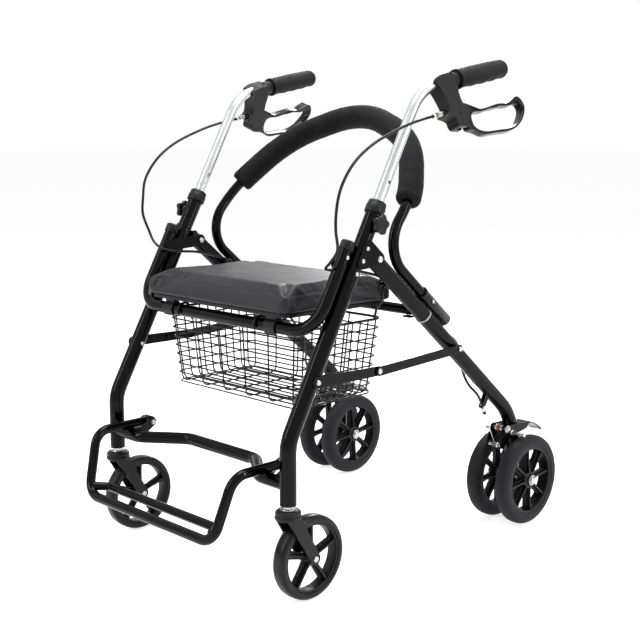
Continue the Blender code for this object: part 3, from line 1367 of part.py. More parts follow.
def torsion_spring(side, sign):
    """The coil round the crank's pivot, with one leg on the rear leg and one on the crank."""
    x = sign * HALF_TRACK
    coil = SPRING_D / 2 - SPRING_WIRE / 2
    per_turn = 10
    steps = SPRING_TURNS * per_turn
    start = -sign * SPRING_PITCH * SPRING_TURNS / 2
    points = []
    for i in range(steps + 1):
        turn = math.radians(60) + 2 * math.pi * i / per_turn
        points.append(
            Vector(
                (
                    start + sign * SPRING_PITCH * i / per_turn,
                    coil * math.cos(turn),
                    coil * math.sin(turn),
                )
            )
        )
    first = (points[0] - points[1]).normalized()
    last = (points[-1] - points[-2]).normalized()
    points = [points[0] + first * 0.007, *points, points[-1] + last * 0.007]
    least = min(
        (points[i] - points[j]).length for i in range(len(points)) for j in range(i + per_turn - 1, len(points))
    )
    print(f"{side} brake spring: least gap to itself {1000 * (least - SPRING_WIRE):.2f} mm")
    line = bpy.data.curves.new(f"{side}_brake_spring", "CURVE")
    line.dimensions = "3D"
    line.bevel_depth = SPRING_WIRE / 2
    line.bevel_resolution = 1
    line.use_fill_caps = True
    spline = line.splines.new("POLY")
    spline.points.add(len(points) - 1)
    for point, place in zip(spline.points, points):
        point.co = (*place, 1)
    made = bpy.data.objects.new(f"{side}_brake_spring", line)
    bpy.context.scene.collection.objects.link(made)
    made.parent = REAR
    made.location = Vector((x, BRAKE_PIVOT_Y, BRAKE_PIVOT_Z)) - HINGE
    line.materials.append(COPPER)


# Footrest.
def footrest():
    x = FOOT_PIVOT_X
    z = FOOT_PIVOT_Z
    half_path = [
        (x, FOOT_PIVOT_Y, z),
        (x, -0.108, z),
        (FOOT_BAR_HALF, FOOT_FRONT_Y, FOOT_BAR_Z),
    ]
    path = half_path + [(-px, py, pz) for px, py, pz in reversed(half_path)]
    frame = bent(path, [FOOT_BEND_R] * 4, 24)
    made = add("footrest", tube(frame, FOOT_TUBE / 2, 8), BLACK_FRAME, (0, FOOT_PIVOT_Y, z))
    join_x, join_y, join_z = FOOT_BAR_HALF - 0.006, FOOT_FRONT_Y + 0.004, FOOT_STEP_Z + 0.004
    step = [
        (join_x, join_y, join_z),
        (join_x - 0.016, FOOT_STEP_Y, FOOT_STEP_Z),
        (-join_x + 0.016, FOOT_STEP_Y, FOOT_STEP_Z),
        (-join_x, join_y, join_z),
    ]
    joined = [tube(bent(step, [0.014, 0.014], 30), FOOT_TUBE / 2 * 0.9, 8)]
    reach = EAR_SPACING / 2 + EAR_PLATE + 0.0025
    for sign in SIDES.values():
        middle = sign * x
        pin = [
            (-reach, 0.0050),
            (-EAR_SPACING / 2 - EAR_PLATE - GAP, 0.0050),
            (-EAR_SPACING / 2 - EAR_PLATE - GAP, FOOT_PIN / 2),
            (EAR_SPACING / 2 + EAR_PLATE + GAP, FOOT_PIN / 2),
            (EAR_SPACING / 2 + EAR_PLATE + GAP, 0.0050),
            (reach, 0.0050),
        ]
        joined.append(turned(pin, (middle, FOOT_PIVOT_Y, z), (1, 0, 0), 8))
        joined.append(turned([(-0.0105, 0.0100), (0.0105, 0.0100)], (middle, FOOT_PIVOT_Y, z), (1, 0, 0), 8))
    fuse(made, *joined)


# Build.
clear_scene()
BLACK_FRAME = finish("gloss black enamelled steel", "17181A", 0.28)
BLACK_PLASTIC = finish("black moulded plastic", "1A1A1C", 0.5)
SILVER = finish("silver anodised aluminium", "B9BDC0", 0.3, 1.0)
STEEL = finish("zinc plated steel", "B5B5B0", 0.32, 1.0)
RUBBER = finish("dark rubber tyre", "242426", 0.7)
GRIP_RUBBER = finish("black grip rubber", "1D1D1F", 0.75)
FOAM = finish("black sponge foam", "151516", 0.9)
VINYL = finish("black vinyl cover", "1B1B1D", 0.45)
WIRE = finish("black coated wire", "141415", 0.4)
COPPER = finish("copper brown spring wire", "5A2E22", 0.4, 0.8)

PLACES = {}
WALKER = joint_empty("walker", (0, 0, 0))
REAR = joint_empty("rear_frame_hinge", HINGE, WALKER)
SEAT_BAR = leg_at(SEAT_BAR_Z) + SEAT_TUBE_SHIFT
SEAT = joint_empty("seat_hinge", SEAT_BAR, WALKER)

seat_front_tube()
lower_brace()
seat(SEAT_BAR)
basket()
footrest()
backrest()
for side_name, side_sign in SIDES.items():
    front_leg(side_name, side_sign)
    collar(side_name, side_sign)
    hinge_bracket(side_name, side_sign)
    knob(side_name, side_sign)
    caster(side_name, side_sign)
    rear_leg(side_name, side_sign)
    rear_wheels(side_name, side_sign)
    stays(side_name, side_sign)
    handle(side_name, side_sign)
    brake_cable(side_name, side_sign)
    rear_brake(side_name, side_sign)

WALKER.location.y = -MIDDLE_Y
bpy.context.view_layer.update()
print(f"the walker's middle is {MIDDLE_Y:.5f} m behind the caster's contact")
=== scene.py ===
import math

import bmesh
import bpy
from mathutils import Matrix, Vector


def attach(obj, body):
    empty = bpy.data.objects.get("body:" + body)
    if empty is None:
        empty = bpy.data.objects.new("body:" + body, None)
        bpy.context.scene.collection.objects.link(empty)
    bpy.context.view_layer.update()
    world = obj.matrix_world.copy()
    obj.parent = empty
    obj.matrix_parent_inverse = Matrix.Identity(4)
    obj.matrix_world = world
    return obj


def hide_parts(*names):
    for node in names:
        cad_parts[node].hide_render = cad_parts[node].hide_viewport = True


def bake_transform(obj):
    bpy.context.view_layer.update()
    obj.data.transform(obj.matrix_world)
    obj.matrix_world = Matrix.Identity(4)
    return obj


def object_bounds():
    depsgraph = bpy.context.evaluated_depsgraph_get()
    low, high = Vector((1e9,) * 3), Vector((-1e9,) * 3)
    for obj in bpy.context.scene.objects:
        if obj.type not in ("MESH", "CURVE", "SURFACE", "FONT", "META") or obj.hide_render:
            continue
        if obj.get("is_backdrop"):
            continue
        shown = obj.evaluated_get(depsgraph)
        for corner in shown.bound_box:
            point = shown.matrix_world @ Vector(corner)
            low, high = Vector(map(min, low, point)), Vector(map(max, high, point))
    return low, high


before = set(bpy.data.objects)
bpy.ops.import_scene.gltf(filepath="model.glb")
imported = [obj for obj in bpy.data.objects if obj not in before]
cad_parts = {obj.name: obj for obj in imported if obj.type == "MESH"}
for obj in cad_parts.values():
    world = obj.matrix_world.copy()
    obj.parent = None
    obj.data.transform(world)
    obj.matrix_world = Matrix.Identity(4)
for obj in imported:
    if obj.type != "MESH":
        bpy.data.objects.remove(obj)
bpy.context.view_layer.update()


# Studio: a pale floor that runs into a white room, three tall strip lights that draw crisp lines
# on the enamel, a broad light overhead, and the camera at the photograph's place.
def linear(code):
    """An sRGB hex colour as linear RGBA."""
    made = []
    for i in (0, 2, 4):
        value = int(code[i : i + 2], 16) / 255
        made.append(value / 12.92 if value <= 0.04045 else ((value + 0.055) / 1.055) ** 2.4)
    return (*made, 1.0)


def add(tree, kind, settings=None, sockets=None):
    """A node with its settings, and its sockets set to a value or linked to an output."""
    made = tree.nodes.new(kind)
    for key, value in (settings or {}).items():
        setattr(made, key, value)
    for key, value in (sockets or {}).items():
        if isinstance(value, bpy.types.NodeSocket):
            tree.links.new(value, made.inputs[key])
        else:
            made.inputs[key].default_value = value
    return made


def seen_by_eye(tree):
    """One where a ray comes from the camera, from a mirror or through glass, and zero elsewhere."""
    ray = add(tree, "ShaderNodeLightPath")
    value = ray.outputs["Is Camera Ray"]
    for kind in ("Is Transmission Ray", "Is Glossy Ray"):
        value = add(
            tree, "ShaderNodeMath", {"operation": "MAXIMUM"}, {0: value, 1: ray.outputs[kind]}
        ).outputs[0]
    return value


camera_data = bpy.data.cameras.new("camera")
camera_data.lens = 63.17  # from the wheels' and the legs' places in the photograph
camera_data.sensor_width = 36.0
camera_data.sensor_fit = "HORIZONTAL"
camera = bpy.data.objects.new("camera", camera_data)
camera.location = (1.5266, -1.4805, 0.769)
camera.rotation_euler = (math.radians(90 - 9.33), 0, math.radians(45.56))
bpy.context.scene.collection.objects.link(camera)
bpy.context.scene.camera = camera
bpy.context.scene.view_settings.view_transform = "Standard"

world = bpy.data.worlds.new("white room")
world.use_nodes = True
room = world.node_tree
room.nodes.clear()
strength = add(room, "ShaderNodeMapRange", {}, {"Value": seen_by_eye(room), "To Min": 0.30, "To Max": 1.0})
light = add(room, "ShaderNodeBackground", {}, {"Color": (1, 1, 1, 1), "Strength": strength.outputs[0]})
add(room, "ShaderNodeOutputWorld", {}, {"Surface": light.outputs[0]})
bpy.context.scene.world = world


def softbox(name, place, aim, size, power):
    """A square lamp at place that shines at aim."""
    data = bpy.data.lights.new(name, "AREA")
    data.shape = "RECTANGLE"
    data.size, data.size_y = size
    data.energy = power
    made = bpy.data.objects.new(name, data)
    made.location = place
    made.rotation_euler = (Vector(aim) - Vector(place)).to_track_quat("-Z", "Y").to_euler()
    bpy.context.scene.collection.objects.link(made)


softbox("front strip", (-0.9, -2.4, 1.9), (0, 0, 0.5), (0.16, 1.9), 34)
softbox("side strip", (2.6, 0.9, 1.6), (0, 0, 0.5), (0.16, 1.9), 34)
softbox("back strip", (-1.8, 2.2, 1.8), (0, 0, 0.5), (0.30, 1.8), 26)
softbox("top light", (0.0, 0.2, 2.6), (0, 0, 0), (1.5, 1.5), 60)

floor_mesh = bpy.data.meshes.new("floor")
FLOOR_HALF = 40.0
corners = [(x * FLOOR_HALF, y * FLOOR_HALF, 0) for x, y in ((-1, -1), (1, -1), (1, 1), (-1, 1))]
floor_mesh.from_pydata(corners, [], [(0, 1, 2, 3)])
floor = bpy.data.objects.new("floor", floor_mesh)
floor.location.z = -0.0005  # just under the tyres, so that no face lies in another
bpy.context.scene.collection.objects.link(floor)
paper = bpy.data.materials.new("matt white paper")
paper.use_nodes = True
sheet = paper.node_tree
sheet.nodes.clear()
matt = add(sheet, "ShaderNodeBsdfDiffuse", {}, {"Color": linear("F4F4F4")})
white = add(sheet, "ShaderNodeEmission", {}, {"Color": (1, 1, 1, 1), "Strength": 0.70})
both = add(sheet, "ShaderNodeAddShader", {}, {0: matt.outputs[0], 1: white.outputs[0]})
pick = add(
    sheet, "ShaderNodeMixShader", {}, {0: seen_by_eye(sheet), 1: matt.outputs[0], 2: both.outputs[0]}
)
add(sheet, "ShaderNodeOutputMaterial", {}, {"Surface": pick.outputs[0]})
floor_mesh.materials.append(paper)
floor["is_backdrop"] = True


# Front legs: two lengths of 28 mm steel tube with a 1.5 mm wall, each bent once on a mandrel so
# that the foot stands upright over its caster, then enamelled gloss black and drilled for bolts.
MIDDLE = 0.26019  # y of the walker's middle, in the numbers that the pieces are drawn with
GAP = 0.0003  # between pieces that turn, slide or are pushed on
STEM_Y = -0.032
KNEE_Z = 0.275
LEG_R = 0.0140
TUBE_R = 0.0111
TRACK = 0.241
LEAN = math.radians(28.9)
LEG_WAY = Vector((0, math.sin(LEAN), math.cos(LEAN)))
LEG_BACK = Vector((0, math.cos(LEAN), -math.sin(LEAN)))
SIDES = (("left", 1), ("right", -1))


def surface(name, colour, roughness, metallic=0.0, ior=1.5, level=0.5):
    """A material, its tree, its Principled shader and the place in the piece's own metres."""
    made = bpy.data.materials.new(name)
    made.use_nodes = True
    tree = made.node_tree
    shader = tree.nodes["Principled BSDF"]
    shader.inputs["Base Color"].default_value = linear(colour)
    shader.inputs["Roughness"].default_value = roughness
    shader.inputs["Metallic"].default_value = metallic
    shader.inputs["IOR"].default_value = ior
    shader.inputs["Specular IOR Level"].default_value = level
    return made, tree, shader, add(tree, "ShaderNodeTexCoord").outputs["Object"]


def noise(tree, place, scale, detail, roughness=0.5):
    """A noise's value, whose scale counts its swells in a metre."""
    sockets = {"Vector": place, "Scale": scale, "Detail": detail, "Roughness": roughness}
    return add(tree, "ShaderNodeTexNoise", {}, sockets).outputs["Fac"]


def patchy(tree, shader, value, low, high, start=0.3, end=0.7):
    """Roughness that drifts from low to high with a pattern."""
    sockets = {"Value": value, "From Min": start, "From Max": end, "To Min": low, "To Max": high}
    rough = add(tree, "ShaderNodeMapRange", {}, sockets)
    tree.links.new(rough.outputs[0], shader.inputs["Roughness"])


def raised(tree, shader, value, strength, distance):
    """A bump from a pattern, on top of any bump that the shader has."""
    normal = shader.inputs["Normal"]
    bump = add(tree, "ShaderNodeBump", {}, {"Height": value, "Strength": strength, "Distance": distance})
    if normal.is_linked:
        tree.links.new(normal.links[0].from_socket, bump.inputs["Normal"])
    tree.links.new(bump.outputs[0], normal)


def toned(tree, shader, value, dark, pale, start=0.3, end=0.7):
    """A base colour that drifts from dark to pale with a pattern."""
    tone = add(tree, "ShaderNodeValToRGB", {}, {"Fac": value})
    low, high = tone.color_ramp.elements
    low.position, high.position = start, end
    low.color, high.color = linear(dark), linear(pale)
    tree.links.new(tone.outputs["Color"], shader.inputs["Base Color"])


def at_x(x, point):
    """A point of the side plane, moved across to x."""
    return Vector((x, point[1], point[2]))


def leg_at(z, behind=0.0):
    """A point on the front leg's sloping axis, moved square to it by behind."""
    return Vector((0, STEM_Y + (z - KNEE_Z) * math.tan(LEAN), z)) + LEG_BACK * behind


def bent(corners, radii, turn=4):
    """Points along a bent tube's axis: straight runs joined by arcs."""
    corners = [Vector(c) for c in corners]
    points = [corners[0]]
    for before, corner, after, radius in zip(corners, corners[1:], corners[2:], radii):
        back = (before - corner).normalized()
        ahead = (after - corner).normalized()
        bend = math.pi - back.angle(ahead)
        centre = corner + (back + ahead).normalized() * (radius / math.cos(bend / 2))
        first = corner + back * (radius * math.tan(bend / 2)) - centre
        last = corner + ahead * (radius * math.tan(bend / 2)) - centre
        axis = first.cross(last).normalized()
        steps = max(2, math.ceil(math.degrees(bend) / turn))
        points += [centre + Matrix.Rotation(bend * i / steps, 3, axis) @ first for i in range(steps + 1)]
    points.append(corners[-1])
    return points


def ring(centre, side, up, radius, sides):
    """The corners of a regular outline round a centre."""
    turns = [2 * math.pi * (i + 0.5) / sides for i in range(sides)]
    return [centre + side * (math.cos(t) * radius) + up * (math.sin(t) * radius) for t in turns]


def skin(rings, loop=False, mesh=None):
    """A closed shell through rings of equal size, capped at its ends or looped."""
    mesh = mesh or bmesh.new()
    rows = [[mesh.verts.new(p) for p in row] for row in rings]
    pairs = list(zip(rows, rows[1:])) + ([(rows[-1], rows[0])] if loop else [])
    faces = []
    for low, high in pairs:
        for i in range(len(low)):
            j = (i + 1) % len(low)
            faces.append(mesh.faces.new((low[i], low[j], high[j], high[i])))
    if not loop:
        faces.append(mesh.faces.new(list(reversed(rows[0]))))
        faces.append(mesh.faces.new(rows[-1]))
    bmesh.ops.recalc_face_normals(mesh, faces=faces)
    return mesh


def stations(points):
    """Each point with a side and an up direction that don't twist along the way."""
    points = [Vector(p) for p in points]
    ways = [(b - a).normalized() for a, b in zip(points, points[1:])]
    tangents = [ways[0]] + [(a + b).normalized() for a, b in zip(ways, ways[1:])] + [ways[-1]]
    first = Vector((1, 0, 0)) if abs(tangents[0].x) < 0.7 else Vector((0, 1, 0))
    side = (first - tangents[0] * first.dot(tangents[0])).normalized()
    made = []
    for point, tangent in zip(points, tangents):
        side = (side - tangent * side.dot(tangent)).normalized()
        made.append((point, side, tangent.cross(side)))
    return made


def tube(points, radius, sides=28, wall=0.0, depth=0.02, mesh=None):
    """A round tube along points. A wall opens both ends to that depth."""
    spots = stations(points)
    rings = [ring(*spot, radius, sides) for spot in spots]
    if wall:
        start = (Vector(points[1]) - Vector(points[0])).normalized() * depth
        end = (Vector(points[-2]) - Vector(points[-1])).normalized() * depth
        inner = radius - wall
        first, last = spots[0], spots[-1]
        head = [ring(first[0] + start, first[1], first[2], inner, sides), ring(*first, inner, sides)]
        tail = [ring(*last, inner, sides), ring(last[0] + end, last[1], last[2], inner, sides)]
        rings = head + rings + tail
    return skin(rings, mesh=mesh)


def turned(profile, origin, axis, steps=40, loop=False, mesh=None):
    """A turned body from (distance along the axis, radius) points."""
    axis = Vector(axis).normalized()
    first = Vector((0, 0, 1)) if abs(axis.z) < 0.7 else Vector((1, 0, 0))
    up = (first - axis * first.dot(axis)).normalized()
    side = up.cross(axis)
    rings = [ring(Vector(origin) + axis * a, up, side, r, steps) for a, r in profile]
    return skin(rings, loop, mesh)


def make(name, mesh, material, body, slot, *nodes, bevel=0.0, smooth=40):
    """A piece at the origin with its place in its mesh, riding its body and standing for nodes."""
    bmesh.ops.translate(mesh, verts=mesh.verts, vec=(0, -MIDDLE, 0))
    data = bpy.data.meshes.new(name)
    mesh.to_mesh(data)
    mesh.free()
    data.materials.append(material)
    data.shade_smooth()
    data.set_sharp_from_angle(angle=math.radians(smooth))
    made = bpy.data.objects.new(name, data)
    bpy.context.scene.collection.objects.link(made)
    if bevel:
        edges = made.modifiers.new("edges", "BEVEL")
        edges.width = bevel
        edges.segments = 2
        edges.limit_method = "ANGLE"
        edges.angle_limit = math.radians(smooth)
        edges.harden_normals = True
    return settle(made, body, slot, *nodes)


def settle(made, body, slot, *nodes):
    """A piece attached to its body, with the nodes that it stands for hidden. The slot is not used."""
    if body:
        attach(made, body)
    if nodes:
        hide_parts(*nodes)
    return made


# Gloss black stoving enamel on steel: a deep even black with sharp highlights, and the slight
# orange peel that sprayed enamel dries to, about 2 mm from crest to crest.
ENAMEL, tree, shader, place = surface("gloss black stoving enamel", "060607", 0.12, level=0.12)
peel = noise(tree, place, 480.0, 2.0)
dust = noise(tree, place, 35.0, 4.0)
patchy(tree, shader, dust, 0.09, 0.17)
raised(tree, shader, peel, 0.05, 0.0006)

for side, sign in SIDES:
    x = sign * TRACK
    corners = [(x, STEM_Y, 0.172), (x, STEM_Y, KNEE_Z), at_x(x, leg_at(0.640))]
    leg = tube(bent(corners, [0.075]), LEG_R, 40, wall=0.0015, depth=0.03)
    make(f"{side}_front_leg_tube", leg, ENAMEL, "front_frame", "frame_black", f"{side}_front_leg")


# Front cross members: the U-shaped seat tube in front of the legs and the bent brace low between
# the casters, both of 22 mm tube. The brace carries two pairs of pressed ears.
def hull(circles, steps=36):
    """The convex outline round circles of (y, z, radius)."""
    dots = set()
    for y, z, radius in circles:
        for i in range(steps):
            turn = 2 * math.pi * i / steps
            dots.add((round(y + radius * math.cos(turn), 7), round(z + radius * math.sin(turn), 7)))
    dots = sorted(dots)

    def half(points):
        line = []
        for p in points:
            while len(line) > 1:
                (ay, az), (by, bz) = line[-2], line[-1]
                if (by - ay) * (p[1] - az) - (bz - az) * (p[0] - ay) > 1e-10:
                    break
                line.pop()
            line.append(p)
        return line[:-1]

    return half(dots) + half(dots[::-1])


def plate(outline, low, high, mesh=None):
    """A plate across x, from a (y, z) outline."""
    rings = [[Vector((x, y, z)) for y, z in outline] for x in (min(low, high), max(low, high))]
    return skin(rings, mesh=mesh)


SEAT_AHEAD = 0.028  # from the leg's axis to the seat tube's, square to both
SEAT_SHIFT = Vector((0, -SEAT_AHEAD / math.cos(LEAN), 0))
seat_arm = leg_at(0.588) + SEAT_SHIFT
SEAT_BAR = leg_at(0.446) + SEAT_SHIFT
SEAT_TUBE_X = TRACK - LEG_R + TUBE_R
corners = [
    at_x(x * SEAT_TUBE_X, p)
    for x, p in ((-1, seat_arm), (-1, SEAT_BAR), (1, SEAT_BAR), (1, seat_arm))
]
seat_tube = tube(bent(corners, [0.050] * 2), TUBE_R, 36)
make("seat_front_bow", seat_tube, ENAMEL, "front_frame", "frame_black", "seat_front_tube")

BRACE_Z = 0.2055
FOOT_X, FOOT_Y, FOOT_Z = 0.195, 0.008, 0.22565
half_path = [(TRACK - 0.0085, STEM_Y, BRACE_Z), (0.1708, STEM_Y, BRACE_Z), (0.093, 0.028, BRACE_Z)]
brace_path = half_path + [(-x, y, z) for x, y, z in reversed(half_path)]
brace = tube(bent(brace_path, [0.035] * 4), TUBE_R, 36)
make("foot_brace_tube", brace, ENAMEL, "front_frame", "frame_black", "lower_brace")
for side, sign in SIDES:
    for edge in (-1, 1):
        x = sign * FOOT_X + edge * 0.014
        outline = hull([
            (FOOT_Y, FOOT_Z, 0.0075), (-0.030, BRACE_Z + 0.004, 0.0065), (-0.028, BRACE_Z - 0.006, 0.0045)
        ])
        ear = plate(outline, x, x + edge * 0.0025)
        make(
            f"{side}_footrest_ear_{'in' if edge * sign < 0 else 'out'}", ear, ENAMEL, "front_frame",
            "frame_black", bevel=0.0006,
        )


# Tube caps: polythene caps pushed over the seat tube's open upper ends.
# Moulded black plastic: a fine spark-eroded texture that breaks the light into a soft sheen.
PLASTIC, tree, shader, place = surface(
    "textured black nylon moulding", "0F0F11", 0.42, ior=1.53, level=0.20
)
grain = noise(tree, place, 1400.0, 3.0, 0.6)
flow = noise(tree, place, 30.0, 3.0)
patchy(tree, shader, flow, 0.36, 0.50)
raised(tree, shader, grain, 0.25, 0.0003)

for side, sign in SIDES:
    top = at_x(sign * SEAT_TUBE_X, seat_arm)
    outer = TUBE_R + 0.0016
    profile = [(-0.0130, TUBE_R + GAP), (-0.0130, outer - 0.0003), (-0.0126, outer), (0.0012, outer)]
    profile += [(0.0028, outer - 0.0010), (0.0038, outer - 0.0030), (0.0040, 0.004), (0.0039, 0.0002)]
    profile += [(0.0010, 0.0002), (0.0010, TUBE_R + GAP)]
    cap = turned(profile, top, LEG_WAY, 40, loop=True)
    make(f"{side}_seat_tube_cap", cap, PLASTIC, "front_frame", "plastic_black", f"{side}_tube_cap")


# Height collars and star knobs: a nylon clamp ring on each leg's top that steadies the handle
# tube, and a five-lobed knob whose zinc-plated screw clamps the tube at the chosen hole.
KNOB = leg_at(0.618)
for side, sign in SIDES:
    foot = at_x(sign * TRACK, leg_at(0.634))
    high = 0.020 / LEG_WAY.z
    step = 0.006 / LEG_WAY.z
    outer = LEG_R + 0.0032
    profile = [(0, LEG_R + GAP), (0, outer - 0.0012), (0.0010, outer - 0.0002), (0.0020, outer)]
    profile += [(high * 0.55, outer), (high * 0.60, outer - 0.0008), (high - 0.0030, outer - 0.0012)]
    profile += [(high - 0.0008, outer - 0.0026), (high, outer - 0.0045), (high, 0.00985)]
    profile += [(step + 0.0004, 0.00985), (step + 0.0004, LEG_R + GAP)]
    collar = turned(profile, foot, LEG_WAY, 40, loop=True)
    make(f"{side}_clamp_collar", collar, PLASTIC, "front_frame", "plastic_black", f"{side}_height_collar")

    centre = at_x(sign * (TRACK + LEG_R + GAP), KNOB)
    rows = []
    for off, share in (
        (0.0062, 0.80), (0.0068, 0.90), (0.0085, 0.96), (0.0130, 0.96), (0.0150, 0.92), (0.0162, 0.80),
        (0.0165, 0.60), (0.0163, 0.30), (0.0158, 0.05),
    ):
        row = []
        for i in range(80):
            turn = 2 * math.pi * i / 80
            lobe = 1 + 0.13 * min(1, share * 1.1) * math.cos(5 * turn)
            radius = 0.0165 * share * lobe
            row.append(
                Vector((
                    centre.x + sign * off, centre.y + radius * math.cos(turn),
                    centre.z + radius * math.sin(turn),
                ))
            )
        rows.append(row)
    star = skin(rows)
    turned(
        [(0.0002, 0.0060), (0.0010, 0.0066), (0.0055, 0.0082), (0.0066, 0.0088)], centre, (sign, 0, 0), 32,
        mesh=star,
    )
    make(f"{side}_star_knob", star, PLASTIC, f"{side}_height_knob", "plastic_black", f"{side}_height_knob")


# Hinge brackets: 2.5 mm pressed steel cheeks on both sides of each leg, joined by a web behind
# it, that carry the rear leg on a bolt, with a strap down to the basket's hanging ring.
HINGE = Vector((0, 0.1656, 0.5589))
RING = Vector((0, 0.2246, 0.508))
PLATE = 0.0025
for side, sign in SIDES:
    high, low = leg_at(0.5849), leg_at(0.5549)
    arm = low + SEAT_SHIFT
    inner, outer = sign * (TRACK - LEG_R - GAP), sign * (TRACK + LEG_R + GAP)
    cheek = plate(
        hull([(HINGE.y, HINGE.z, 0.0115), (high.y, high.z, 0.009), (low.y, low.z, 0.010)]), outer,
        outer + sign * PLATE,
    )
    corners = [
        leg_at(z, LEG_R + GAP + t)
        for z, t in ((low.z, 0), (high.z, 0), (high.z, PLATE), (low.z, PLATE))
    ]
    plate([(p.y, p.z) for p in corners], inner - sign * PLATE / 2, outer + sign * PLATE / 2, mesh=cheek)
    ahead = hull([(HINGE.y, HINGE.z, 0.0115), (arm.y, arm.z, 0.009), (low.y, low.z, 0.010)])
    plate(ahead, inner - sign * PLATE, inner, mesh=cheek)
    strap = hull([(HINGE.y, HINGE.z, 0.0085), (RING.y, RING.z, 0.0065)])
    plate(strap, inner - sign * PLATE * 0.9, inner - sign * PLATE * 0.1, mesh=cheek)
    pin = Vector((inner - sign * PLATE / 2, RING.y, RING.z))
    turned(
        [(0, 0.0030), (0.0216, 0.0030), (0.0216, 0.0050), (0.0233, 0.0050), (0.0241, 0.0036)], pin,
        (-sign, 0, 0), 24, mesh=cheek,
    )
    make(
        f"{side}_hinge_cheeks", cheek, ENAMEL, "front_frame", "frame_black", f"{side}_hinge_bracket",
        bevel=0.0005,
    )


# Bolts and rivets: zinc-plated steel, each with a domed or a hexagon head and a dark shadow line
# under it. Zinc plate is a cool silver with a faint yellow and grey bloom in patches.
ZINC, tree, shader, place = surface("bright zinc plated steel", "B4B6B6", 0.26, 1.0)
bloom = noise(tree, place, 260.0, 3.0)
toned(tree, shader, bloom, "9C9EA0", "CFCFC8", 0.0, 1.0)
patchy(tree, shader, bloom, 0.18, 0.36, 0.0, 1.0)


def bolt(name, place, low, high, shank, head, body, *nodes, hexagon=False):
    """A bolt along x at place: a head outside high, a nut outside low."""
    way = 1 if high > low else -1
    start = Vector((place[0] + low, place[1], place[2]))
    grip = abs(high - low)
    dome = [
        (grip, 0.001), (grip, head), (grip + 0.0008, head), (grip + 0.0022, head * 0.86),
        (grip + 0.0032, head * 0.55), (grip + 0.0036, 0.0002),
    ]
    mesh = turned([(0.0, shank), (grip, shank)], start, (way, 0, 0), 20)
    turned(dome, start, (way, 0, 0), 6 if hexagon else 28, mesh=mesh)
    nut = [
        (-0.0003, 0.001), (-0.0003, head * 0.95), (-0.0036, head * 0.95), (-0.0038, head * 0.80),
        (-0.0038, shank), (-0.0046, shank * 0.9), (-0.0048, 0.0002),
    ]
    turned(nut, start, (way, 0, 0), 6, mesh=mesh)
    return make(name, mesh, ZINC, body, "hardware_zinc", *nodes, bevel=0.0003)


FRONT_STAY = leg_at(0.3695)
DROP = math.radians(40.2)
REAR_WAY = Vector((0, math.cos(DROP), -math.sin(DROP)))
REAR_UP = Vector((0, math.sin(DROP), math.cos(DROP)))


def rear_leg_at(y, above=0.0):
    """A point on the rear leg's straight axis at y, moved square to it by above."""
    return HINGE + REAR_WAY * ((y - HINGE.y) / REAR_WAY.y) + REAR_UP * above


REAR_STAY = rear_leg_at(0.381)
for side, sign in SIDES:
    x = sign * TRACK
    reach = LEG_R + GAP + PLATE
    bolt(
        f"{side}_hinge_pivot", at_x(x, HINGE), -sign * reach, sign * reach, 0.003, 0.0060, "front_frame",
        f"{side}_hinge_bolt",
    )
    bolt(
        f"{side}_front_link_bolt", at_x(x, FRONT_STAY), -sign * LEG_R, sign * (LEG_R + 0.0033), 0.003,
        0.0047, "front_frame", f"{side}_front_stay_bolt",
    )
    bolt(
        f"{side}_rear_link_bolt", at_x(x, REAR_STAY), -sign * LEG_R, sign * (LEG_R + 0.0069), 0.003, 0.0047,
        "rear_frame", f"{side}_rear_stay_bolt",
    )

    rivets = bmesh.new()
    dome = [(0, 0.0036), (0.0004, 0.0038), (0.0012, 0.0033), (0.0017, 0.0018), (0.0019, 0.0002)]
    for spot in (leg_at(0.5789), leg_at(0.5589)):
        turned(
            [(0, 0.0002), *dome], at_x(sign * (TRACK + LEG_R + GAP + PLATE), spot), (sign, 0, 0), 24,
            mesh=rivets,
        )
    for spot, out in ((leg_at(0.566) + SEAT_SHIFT, SEAT_TUBE_X + TUBE_R), (leg_at(0.538), TRACK + LEG_R)):
        turned([(0, 0.0002), *dome], at_x(sign * (out - 0.0002), spot), (sign, 0, 0), 24, mesh=rivets)
    make(f"{side}_frame_rivets", rivets, ZINC, "front_frame", "hardware_zinc")


# Side stays: two flat steel links on each side, pressed with rounded ends, which hold the frame
# open and break upwards at their middle rivet when it folds.
MID = Vector((0, 0.1646, 0.3674))
for side, sign in SIDES:
    near = sign * (TRACK + LEG_R + GAP)
    far = sign * (TRACK + LEG_R + 0.0036)
    front = plate(
        hull([(FRONT_STAY.y, FRONT_STAY.z, 0.010), (MID.y, MID.z, 0.0085)]), near, near + sign * 0.0028
    )
    make(
        f"{side}_front_link", front, ENAMEL, f"{side}_front_stay", "frame_black", f"{side}_front_stay",
        bevel=0.0007,
    )
    rear = plate(
        hull([(MID.y, MID.z, 0.0085), (REAR_STAY.y, REAR_STAY.z, 0.008)]), far, far + sign * 0.0028
    )
    turned([(0.0004, 0.0053), (0.0040, 0.0053)], at_x(near, REAR_STAY), (sign, 0, 0), 28, mesh=rear)
    make(
        f"{side}_rear_link", rear, ENAMEL, f"{side}_rear_stay", "frame_black", f"{side}_rear_stay",
        bevel=0.0007,
    )
    rivet = turned(
        [(0, 0.0002), (0, 0.0050), (0.0006, 0.0051), (0.0014, 0.0043), (0.0019, 0.0024), (0.0020, 0.0002)],
        at_x(far + sign * 0.0027, MID), (sign, 0, 0), 28,
    )
    make(f"{side}_middle_rivet", rivet, ZINC, f"{side}_rear_stay", "hardware_zinc")


